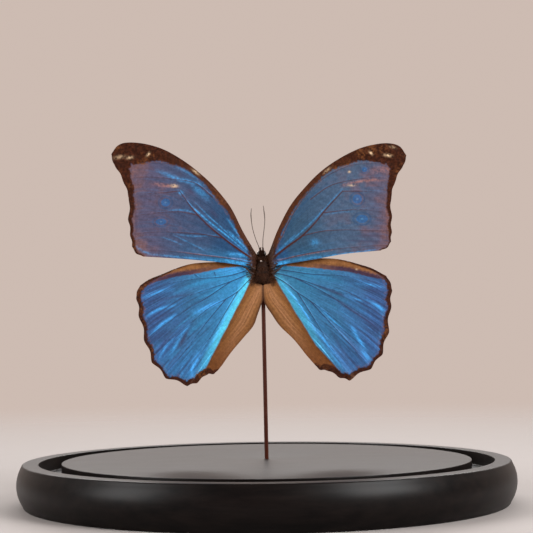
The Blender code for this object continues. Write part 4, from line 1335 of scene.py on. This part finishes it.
class BUTTERFLY_OT_head(bpy.types.Operator):
    """Shape the head with its eyes, palps and coiled tongue"""
    bl_idname = "butterfly.head"
    bl_label = "Head"

    def execute(self, context):
        s = context.scene.butterfly_body
        rng = np.random.default_rng(21)
        middle, half = np.array((-0.3, -0.2, 7.2)), np.array((1.55, 1.35, 1.3))
        skull = egg(middle, half, 40, 24)
        bare_skin(skull, 0.2)
        spots = unit(rng.normal(size=(s.head_hairs, 3)))
        spots = spots[np.abs(spots[:, 0]) < 0.72]
        roots = middle + spots * half * 0.97
        leans = 0.75 * spots + np.array((0.0, -0.2, 0.35)) + 0.25 * rng.normal(size=spots.shape)
        lengths = 0.85 * (0.5 + 0.6 * rng.random(len(spots)))
        widths = np.full(len(spots), s.hair_width / MM)
        tuft = hairs("head_fur", roots, leans, lengths, widths, (0.0, 0.0, 0.1), 22)
        piece = join([skull, tuft])
        fur = fur_finish("head_fur", s.fur_dark[:], s.fur_light[:])
        settle(piece, "furry_head", ["head"], [fur])
        eyes = [
            egg(middle + np.array((side * 1.25, -0.15, 0.1)), np.array((0.85, 1.0, 1.1)), 32, 20)
            for side in (-1, 1)
        ]
        settle(join(eyes), "compound_eyes", [], [eye_finish()])
        for name, x, turn in (("left", -0.9, 0.12), ("right", 0.35, -0.12)):
            line = ((x, -1.1, 7.9), (x, -1.5, 8.7), (x, -1.6, 9.4), (x + turn, -1.5, 10.0))
            core = tube(line, PALP_RADII, 3, 12)
            bare_skin(core, 0.3)
            share = rng.random(PALP_HAIRS)
            spine = along(smooth_line(line, 40), share)
            around = unit(rng.normal(size=(PALP_HAIRS, 3)) * np.array((1.0, 1.0, 0.3)))
            leans = 0.55 * around + np.array((0.0, -0.1, 1.0))
            lengths = 0.55 * (0.5 + 0.5 * rng.random(PALP_HAIRS)) * (1.0 - 0.5 * share)
            bristle = hairs(f"palp_fur_{name}", spine + around * 0.3, leans, lengths,
                            np.full(PALP_HAIRS, 0.035), STRAIGHT, 23)
            piece = join([core, bristle])
            settle(piece, f"furry_palp_{name}", [f"palp_{name}"], [fur])
        turns = np.linspace(0.0, TONGUE_TURNS * math.tau, TONGUE_POINTS)
        radius = 1.0 - 0.72 * turns / turns[-1]
        coil = np.column_stack([
            np.full(TONGUE_POINTS, -0.3), 1.25 + radius * np.sin(turns) * 0.9,
            6.9 + radius * np.cos(turns)])
        tongue = tube(coil + np.array((0.0, 0.9, 0.2)), TONGUE_RADII, 2, 90)
        horn = skin_finish("tongue_skin", (0.02, 0.009, 0.005), (0.1, 0.05, 0.028), 0.45, 1200.0)
        settle(tongue, "coiled_tongue", [], [horn])
        return {"FINISHED"}


class BUTTERFLY_OT_limbs(bpy.types.Operator):
    """Draw the antennae and the folded legs"""
    bl_idname = "butterfly.limbs"
    bl_label = "Antennae and legs"

    def execute(self, context):
        horn = skin_finish("antenna_skin", (0.03, 0.016, 0.011), (0.12, 0.085, 0.065), 0.5, 700.0)
        for name, line in ANTENNA_LINES.items():
            piece = tube(line, ANTENNA_RADII, 3, 90)
            settle(piece, f"ringed_{name}", [name], [horn])
        leg_skin = skin_finish("leg_skin", (0.02, 0.011, 0.007), (0.11, 0.07, 0.045), 0.55, 500.0)
        strut_skin = skin_finish(
            "strut_skin", (0.010, 0.003, 0.002), (0.034, 0.010, 0.006), 0.75, 500.0)
        for name, line in STRUTS.items():
            piece = tube(line, STRUT_RADII, 3, 30)
            settle(piece, f"wing_strut_{name}", [], [strut_skin])
        rng = np.random.default_rng(31)
        for side, turn in (("left", -1), ("right", 1)):
            for pair, line in LEG_LINES.items():
                placed = [(turn * x, y, z) for x, y, z in line]
                leg = tube(placed, LEG_RADII, 3, 60)
                spine = along(smooth_line(placed, 60), rng.random(LEG_HAIRS))
                around = unit(rng.normal(size=(LEG_HAIRS, 3)))
                bristles = hairs(
                    f"leg_bristles_{pair}_{side}", spine + around * 0.18,
                    around + np.array((0.0, 0.0, -0.9)), 0.35 + 0.25 * rng.random(LEG_HAIRS),
                    np.full(LEG_HAIRS, 0.025), STRAIGHT, 32)
                settle(join([leg, bristles]), f"bristly_leg_{pair}_{side}",
                       [f"leg_{pair}_{side}"], [leg_skin])
        return {"FINISHED"}


def scalloped(tips, share, middle):
    """The outer margin, hollowed between the vein tips towards the wing's middle."""
    t = np.linspace(0.0, 1.0, 40, endpoint=False)[:, None]
    parts = []
    hollows = [share] * (len(tips) - 1)
    hollows[0], hollows[-1] = (bulge * share for bulge in CORNER_BULGES)
    for a, b, deep in zip(np.array(tips), np.array(tips[1:]), hollows):
        chord = b - a
        inward = np.array((-chord[1], chord[0])) / np.linalg.norm(chord)
        inward *= 1.0 if inward @ (middle - a) > 0 else -1.0
        hollow = deep * np.linalg.norm(chord) * np.sin(math.pi * t) ** 2
        parts.append(a + chord * t + inward * hollow)
    return np.vstack([*parts, np.array(tips[-1:])])


def wing_edges(outline, share):
    """The four edges of a wing as fine lines: root, front, margin and back."""
    corners = np.array(outline["tips"] + outline["root"])
    margin = scalloped(outline["tips"], share, corners.mean(axis=0))
    return (
        smooth_line(outline["root"], 200), smooth_line(outline["front"], 400), margin,
        smooth_line(outline["back"], 400),
    )


def blended(edges, chord, reach):
    """Points between the four edges: chord runs front to back, reach from root to margin."""
    root, front, margin, back = edges
    u, v = chord[:, None], reach[:, None]
    sides = along(front, reach) * (1 - u) + along(back, reach) * u
    ends = along(root, chord) * (1 - v) + along(margin, chord) * v
    corners = (
        root[0] * (1 - u) * (1 - v) + root[-1] * u * (1 - v)
        + margin[0] * (1 - u) * v + margin[-1] * u * v
    )
    return sides + ends - corners


def fold_distance(outline, flat):
    """How far a point lies past the inner fold line, towards the body."""
    line = np.array(outline["fold"])
    order = np.argsort(line[:, 1])
    z, x = line[order, 1], np.abs(line[order, 0])
    start_slope = (x[1] - x[0]) / (z[1] - z[0])
    end_slope = (x[-1] - x[-2]) / (z[-1] - z[-2])
    fold = np.interp(flat[:, 1], z, x)
    fold += np.minimum(flat[:, 1] - z[0], 0.0) * start_slope
    fold += np.maximum(flat[:, 1] - z[-1], 0.0) * end_slope
    return (np.maximum(fold, 0.0) - np.abs(flat[:, 0])) * 0.86


def forewing_depth(_outline, flat, chord, reach, vein_gap):
    """How far back the forewing's middle surface lies: it rises to its tip and sags a little."""
    sag = 0.14 * ramped(0.0, 4.0, vein_gap) * ramped(1.0, 0.9, reach)
    wrinkle = 0.05 * np.sin(flat[:, 0] * 0.9 + flat[:, 1] * 1.7) * ramped(0.1, 0.6, reach)
    arch = 0.36 * np.sin(math.pi * chord) * reach * (1.0 - 0.4 * reach)
    bend = ROOT_BEND * ramped(5.5, 1.6, np.abs(flat[:, 0]))
    return FOREWING_DEPTH - FOREWING_RISE * np.abs(flat[:, 0]) + sag + wrinkle - arch + bend


def hindwing_depth(outline, flat, chord, reach, vein_gap):
    """The hindwing's surface: radial pleats outside, and a fold turned back inside."""
    past = fold_distance(outline, flat)
    (x_top, z_top), (x_low, z_low) = outline["fold"][0], outline["fold"][-1]
    fold_x = x_top + (x_low - x_top) * (flat[:, 1] - z_top) / (z_low - z_top)
    inside = np.clip((np.abs(fold_x) - np.abs(flat[:, 0])) / np.maximum(np.abs(fold_x), 1.0), 0, 1)
    lowness = np.clip((FOLD_LOW_START - flat[:, 1]) / FOLD_LOW_LENGTH, 0.0, 1.0)
    back = (FOLD_BACK + FOLD_BACK_LOW * lowness) * inside ** 2
    crest = -0.5 * np.exp(-((past + 1.6) / 1.8) ** 2) * ramped(0.02, 0.2, reach)
    pleats = 0.16 * np.sin(chord * 58.0 + 2.0 * np.sin(chord * 9.0)) * ramped(0.25, 0.75, reach)
    pleats *= ramped(0.5, -1.5, past) * ramped(1.0, 0.9, reach)
    sag = 0.12 * ramped(0.0, 4.0, vein_gap) * ramped(0.5, -1.5, past)
    return HINDWING_DEPTH - HINDWING_RISE * np.abs(flat[:, 0]) + back + crest + pleats + sag


def stroked(flat, strokes):
    """How strongly soft brush strokes cover each point; a stroke fades at both its ends."""
    cover = np.zeros(len(flat))
    for strength, half_wide, line in strokes:
        away, share = distance_to(flat, smooth_line(line, 14))
        taper = 0.25 + 0.75 * np.sin(math.pi * share) ** 0.7
        cover = np.maximum(cover, strength * taper * np.exp(-(away / half_wide) ** 2))
    return cover


def wing_values(mesh, outline, edges, flat, chord, reach):
    """Keeps what the wing's materials read, and gives the gap to the nearest vein."""
    front, margin = edges[1:3]
    gap = np.full(len(flat), np.inf)
    for vein in outline["veins"]:
        away, share = distance_to(flat, smooth_line(vein, 30))
        gap = np.minimum(gap, away - VEIN_HALF_WIDTH * (1.15 - share))
    stem_gap = np.full(len(flat), np.inf)
    if "stem" in outline:
        away, share = distance_to(flat, smooth_line(outline["stem"], 40))
        stem_gap = away - STEM_HALF_WIDTH * (1.25 - 0.8 * share)
    else:
        past = fold_distance(outline, flat)
        keep_values(mesh, "fold_mm", past)
        strip = np.array(outline["strip"])
        order = np.argsort(strip[:, 0])
        level = np.interp(flat[:, 0], strip[order, 0], strip[order, 1])
        keep_values(mesh, "strip_mm", flat[:, 1] - level)
    front_gap, front_share = distance_to(flat, front[::5])
    edge_gap, edge_share = distance_to(flat, margin[::4])
    counts = len(outline["border_front"]), len(outline["border_margin"])
    front_width = np.interp(front_share, np.linspace(0, 1, counts[0]), outline["border_front"])
    edge_width = np.interp(edge_share, np.linspace(0, 1, counts[1]), outline["border_margin"])
    border = np.maximum(front_width - front_gap, edge_width - edge_gap)
    keep_values(mesh, "border_mm", border)
    keep_values(mesh, "chord", chord)
    keep_values(mesh, "reach", reach)
    keep_values(mesh, "vein_mm", gap)
    keep_values(mesh, "stem", ramped(0.2, -0.15, stem_gap))
    past_end = np.maximum(flat[:, 1] - SIDE_HIGH, 0.0)
    past_end += FALL_BELOW * np.maximum(SIDE_LOW - flat[:, 1], 0.0)
    keep_values(mesh, "body_mm", np.hypot(flat[:, 0], past_end))
    # How lit the wing is painted, which sets its painted light and painted shade
    keep_values(mesh, "painted_lit_share", np.full(len(flat), outline["painted_lit_share"]))
    # Of these soft strokes, the bright ones are painted highlights
    for name in ("painted_highlights", "dusks", "blushes"):
        keep_values(mesh, name, stroked(flat, outline[name]))
    spots = np.full(len(flat), 9.0)
    for x, z, radius, stretch in outline["ocelli"]:
        away = np.hypot((flat[:, 0] - x) / stretch, flat[:, 1] - z)
        spots = np.minimum(spots, away / radius)
    keep_values(mesh, "ocellus", spots)
    # Small painted glints, painted highlights on the membrane
    painted_glints = np.zeros(len(flat))
    for x, z, strength, half_long, half_wide, turn in outline["painted_glints"]:
        angle = math.radians(turn)
        across = flat - np.array((x, z))
        long = across @ np.array((math.cos(angle), math.sin(angle)))
        wide = across @ np.array((-math.sin(angle), math.cos(angle)))
        spot = np.exp(-(long / half_long) ** 2 - (wide / half_wide) ** 2)
        painted_glints = np.maximum(painted_glints, strength * spot)
    keep_values(mesh, "painted_glints", painted_glints)
    return np.maximum(np.minimum(gap, stem_gap), 0.0) + np.maximum(border, 0.0)


def make_wing(name, node, outline, share, depth, finishes, s):
    """A wing: a grid laid between its edges, thickened, with its veins standing proud."""
    piece = begin(
        bpy.ops.mesh.primitive_grid_add, x_subdivisions=s.steps_across,
        y_subdivisions=s.steps_along, size=1.0, calc_uvs=True)
    grid = coordinates(piece.data)
    chord, reach = np.clip(grid[:, 0] + 0.5, 0, 1), np.clip(grid[:, 1] + 0.5, 0, 1)
    edges = wing_edges(outline, share)
    flat = blended(edges, chord, reach)
    vein_gap = wing_values(piece.data, outline, edges, flat, chord, reach)
    keep_values(piece.data, "vein_gap", vein_gap)
    y = depth(outline, flat, chord, reach, vein_gap)
    nearer = 1.0 + y / SEEN_FROM
    places = np.column_stack([
        flat[:, 0] * nearer, y, (flat[:, 1] + SEEN_BELOW) * nearer - SEEN_BELOW])
    set_coordinates(piece.data, places * MM + np.array(BODY))
    face_outwards()
    body = piece.modifiers.new("Membrane", "SOLIDIFY")
    body.thickness = s.thickness
    body.offset = 0.0
    bpy.ops.object.modifier_apply(modifier=body.name)
    face_outwards()
    mesh = piece.data
    facing = read(mesh.vertices, "normal")
    gaps = read(mesh.attributes["vein_gap"].data, "value", 1)[:, 0]
    ridge = s.vein_height * np.exp(-(gaps / RIDGE_SPREAD) ** 2)
    places = coordinates(mesh)
    places[:, 1] += ridge * np.sign(facing[:, 1])
    set_coordinates(mesh, places)
    settle(piece, name, [node], finishes, 55.0)
    behind = read(mesh.polygons, "normal")[:, 1] > 0
    mesh.polygons.foreach_set("material_index", behind.astype(np.int32))
    return edges


def root_hairs(name, outline, edges, depth, s, seed):
    """The fuzz over a wing's root, combed outwards."""
    rng = np.random.default_rng(seed)
    count = s.root_hairs
    chord = rng.random(count) * (0.62 if "fold" in outline else 1.0)
    reach = 0.085 * rng.random(count) ** 1.5
    flat = blended(edges, chord, reach)
    further = blended(edges, chord, reach + 0.02)
    out = unit(further - flat)
    y = depth(outline, flat, chord, reach, np.full(count, 1.0)) - 0.1
    roots = np.column_stack([flat[:, 0], y, flat[:, 1]])
    leans = np.column_stack([out[:, 0], np.full(count, -0.35), out[:, 1]])
    leans += 0.25 * rng.normal(size=(count, 3))
    lengths = 1.5 * (0.4 + 0.7 * rng.random(count))
    return hairs(name, roots, leans, lengths, np.full(count, 0.04), STRAIGHT, seed)


def lay_pair(context, kind, outlines, first_seed, share, depth, finishes, fuzz):
    """Lays out the left and the right wing of one kind, with the fuzz on their roots."""
    s, body = context.scene.butterfly_wing, context.scene.butterfly_body
    for seed, (side, outline) in enumerate(zip(("left", "right"), outlines), first_seed):
        edges = make_wing(
            f"blue_{kind}_{side}", f"{kind}_{side}", outline, share, depth,
            finishes, s)
        tuft = root_hairs(f"{kind}_hair_{side}", outline, edges, depth, body, seed)
        settle(tuft, f"{kind}_hair_{side}", [], [fuzz])


class BUTTERFLY_OT_forewings(bpy.types.Operator):
    """Lay out the two forewings"""
    bl_idname = "butterfly.forewings"
    bl_label = "Forewings"

    def execute(self, context):
        s, body = context.scene.butterfly_wing, context.scene.butterfly_body
        finishes = [forewing_upper_finish(s), underside_finish(s)]
        fuzz = fur_finish("wing_root_hair", body.root_dark[:], body.root_light[:])
        lay_pair(context, "forewing", (FOREWING_LEFT, FOREWING_RIGHT), 41, FOREWING_SCALLOP,
                 forewing_depth, finishes, fuzz)
        return {"FINISHED"}


class BUTTERFLY_OT_hindwings(bpy.types.Operator):
    """Lay out the two hindwings"""
    bl_idname = "butterfly.hindwings"
    bl_label = "Hindwings"

    def execute(self, context):
        upper = hindwing_upper_finish(context.scene.butterfly_wing)
        lay_pair(context, "hindwing", (HINDWING_LEFT, HINDWING_RIGHT), 43, HINDWING_SCALLOP,
                 hindwing_depth, [upper, bpy.data.materials["wing_underside"]],
                 bpy.data.materials["wing_root_hair"])
        return {"FINISHED"}


# ---------------------------------------------------------------- the stage


def area_light(name, place, size, power):
    """A rectangular light that points at the butterfly."""
    light = bpy.data.lights.new(name, "AREA")
    light.shape = "RECTANGLE"
    light.size, light.size_y = size
    light.energy = power
    made = bpy.data.objects.new(name, light)
    made.location = place
    aim = Vector(LIT_PLACE) - Vector(place)
    made.rotation_euler = aim.to_track_quat("-Z", "Y").to_euler()
    bpy.context.collection.objects.link(made)


def floor_finish(s):
    """A plain pale floor that fades into the backdrop far from the object."""
    made, t = new_finish("pale_floor", Roughness=0.9)
    place = t.place()
    fine = t.noise(place, 60.0, 3.0, 0.5)
    colour = t.mix(fine, tuple(0.98 * c for c in s.floor), tuple(1.02 * c for c in s.floor))
    t.shade("Base Color", colour)
    distance = t.add("ShaderNodeVectorMath", {"operation": "LENGTH"})
    t.links.new(place, distance.inputs[0])
    fade = t.step(0.2 * s.floor_radius, 0.95 * s.floor_radius, distance.outputs["Value"])
    t.shade("Alpha", t.rest(fade))
    return made


class BUTTERFLY_OT_stage(bpy.types.Operator):
    """Set up the floor, the soft light and the camera"""
    bl_idname = "butterfly.stage"
    bl_label = "Stage"

    def execute(self, context):
        s = context.scene.butterfly_stage
        floor = begin(bpy.ops.mesh.primitive_circle_add, vertices=96, radius=s.floor_radius,
                      fill_type="NGON")
        floor.name = "floor"
        floor.data.materials.append(floor_finish(s))
        world = bpy.data.worlds.new("soft_studio")
        world.use_nodes = True
        t = Tree(world.node_tree)
        seen = t.add("ShaderNodeBackground", Color=tuple(s.backdrop), Strength=1.0)
        direction = t.add("ShaderNodeTexCoord").outputs["Generated"]
        facing = t.add("ShaderNodeSeparateXYZ", Vector=direction)
        behind = t.step(*WALL_BEGINS, facing.outputs["Y"])
        high = t.times(t.step(*BAND_BEGINS, facing.outputs["Z"]),
                       t.step(*BAND_ENDS, facing.outputs["Z"]))
        wall = t.mix(high, tuple(s.wall_light * c for c in s.backdrop),
                     tuple(s.upper_light * c for c in s.ambient_colour))
        glow = t.mix(behind, tuple(s.ambient * c for c in s.ambient_colour), wall)
        around = t.add("ShaderNodeBackground", Color=glow, Strength=1.0)
        path = t.add("ShaderNodeLightPath")
        either = t.add("ShaderNodeMixShader", Fac=path.outputs["Is Camera Ray"])
        t.links.new(around.outputs[0], either.inputs[1])
        t.links.new(seen.outputs[0], either.inputs[2])
        t.links.new(either.outputs[0], t.nodes["World Output"].inputs["Surface"])
        context.scene.world = world
        area_light("key_light", KEY_PLACE, KEY_SIZE, s.key_power)
        area_light("fill_light", FILL_PLACE, FILL_SIZE, s.fill_power)
        area_light("back_light", BACK_PLACE, BACK_SIZE, s.back_power)
        lens = bpy.data.cameras.new("camera")
        lens.lens, lens.sensor_width = s.lens, SENSOR_WIDTH
        camera = bpy.data.objects.new("camera", lens)
        camera.location = (s.camera_side, -s.camera_distance, s.camera_height)
        look = Matrix.Rotation(math.radians(90.0 + s.camera_pitch), 4, "X")
        roll = Matrix.Rotation(math.radians(s.camera_roll), 4, "Z")
        camera.rotation_euler = (look @ roll).to_euler()
        context.collection.objects.link(camera)
        context.scene.camera = camera
        context.scene.view_settings.view_transform = "Standard"
        return {"FINISHED"}


class BUTTERFLY_PT_panel(bpy.types.Panel):
    """The steps that build the mounted butterfly"""
    bl_label = "Mounted Butterfly"
    bl_idname = "BUTTERFLY_PT_panel"
    bl_space_type = "VIEW_3D"
    bl_region_type = "UI"
    bl_category = "Butterfly"

    def draw(self, context):
        """Shows a button for each step and a box for each group of settings."""
        for step in STEPS:
            self.layout.operator(step.bl_idname)
        for name in SETTINGS:
            box = self.layout.box()
            group = getattr(context.scene, name)
            for prop in group.bl_rna.properties:
                if prop.identifier not in {"rna_type", "name"}:
                    box.prop(group, prop.identifier)


STEPS = (
    BUTTERFLY_OT_base, BUTTERFLY_OT_rod, BUTTERFLY_OT_thorax, BUTTERFLY_OT_head,
    BUTTERFLY_OT_limbs, BUTTERFLY_OT_forewings, BUTTERFLY_OT_hindwings, BUTTERFLY_OT_stage,
)
SETTINGS = {
    "butterfly_base": BaseSettings,
    "butterfly_body": BodySettings,
    "butterfly_wing": WingSettings,
    "butterfly_stage": StageSettings,
}


def register():
    """Makes the settings, steps and panel known to Blender."""
    for made in (*SETTINGS.values(), *STEPS, BUTTERFLY_PT_panel):
        bpy.utils.register_class(made)
    for name, group in SETTINGS.items():
        setattr(bpy.types.Scene, name, PointerProperty(type=group))


def unregister():
    """Takes them away again."""
    for name in SETTINGS:
        delattr(bpy.types.Scene, name)
    for made in reversed((*SETTINGS.values(), *STEPS, BUTTERFLY_PT_panel)):
        bpy.utils.unregister_class(made)


def main():
    """Builds everything."""
    register()
    bpy.ops.butterfly.base()
    bpy.ops.butterfly.rod()
    bpy.ops.butterfly.thorax()
    bpy.ops.butterfly.head()
    bpy.ops.butterfly.limbs()
    bpy.ops.butterfly.forewings()
    bpy.ops.butterfly.hindwings()
    bpy.ops.butterfly.stage()


if __name__ == "__main__":
    main()
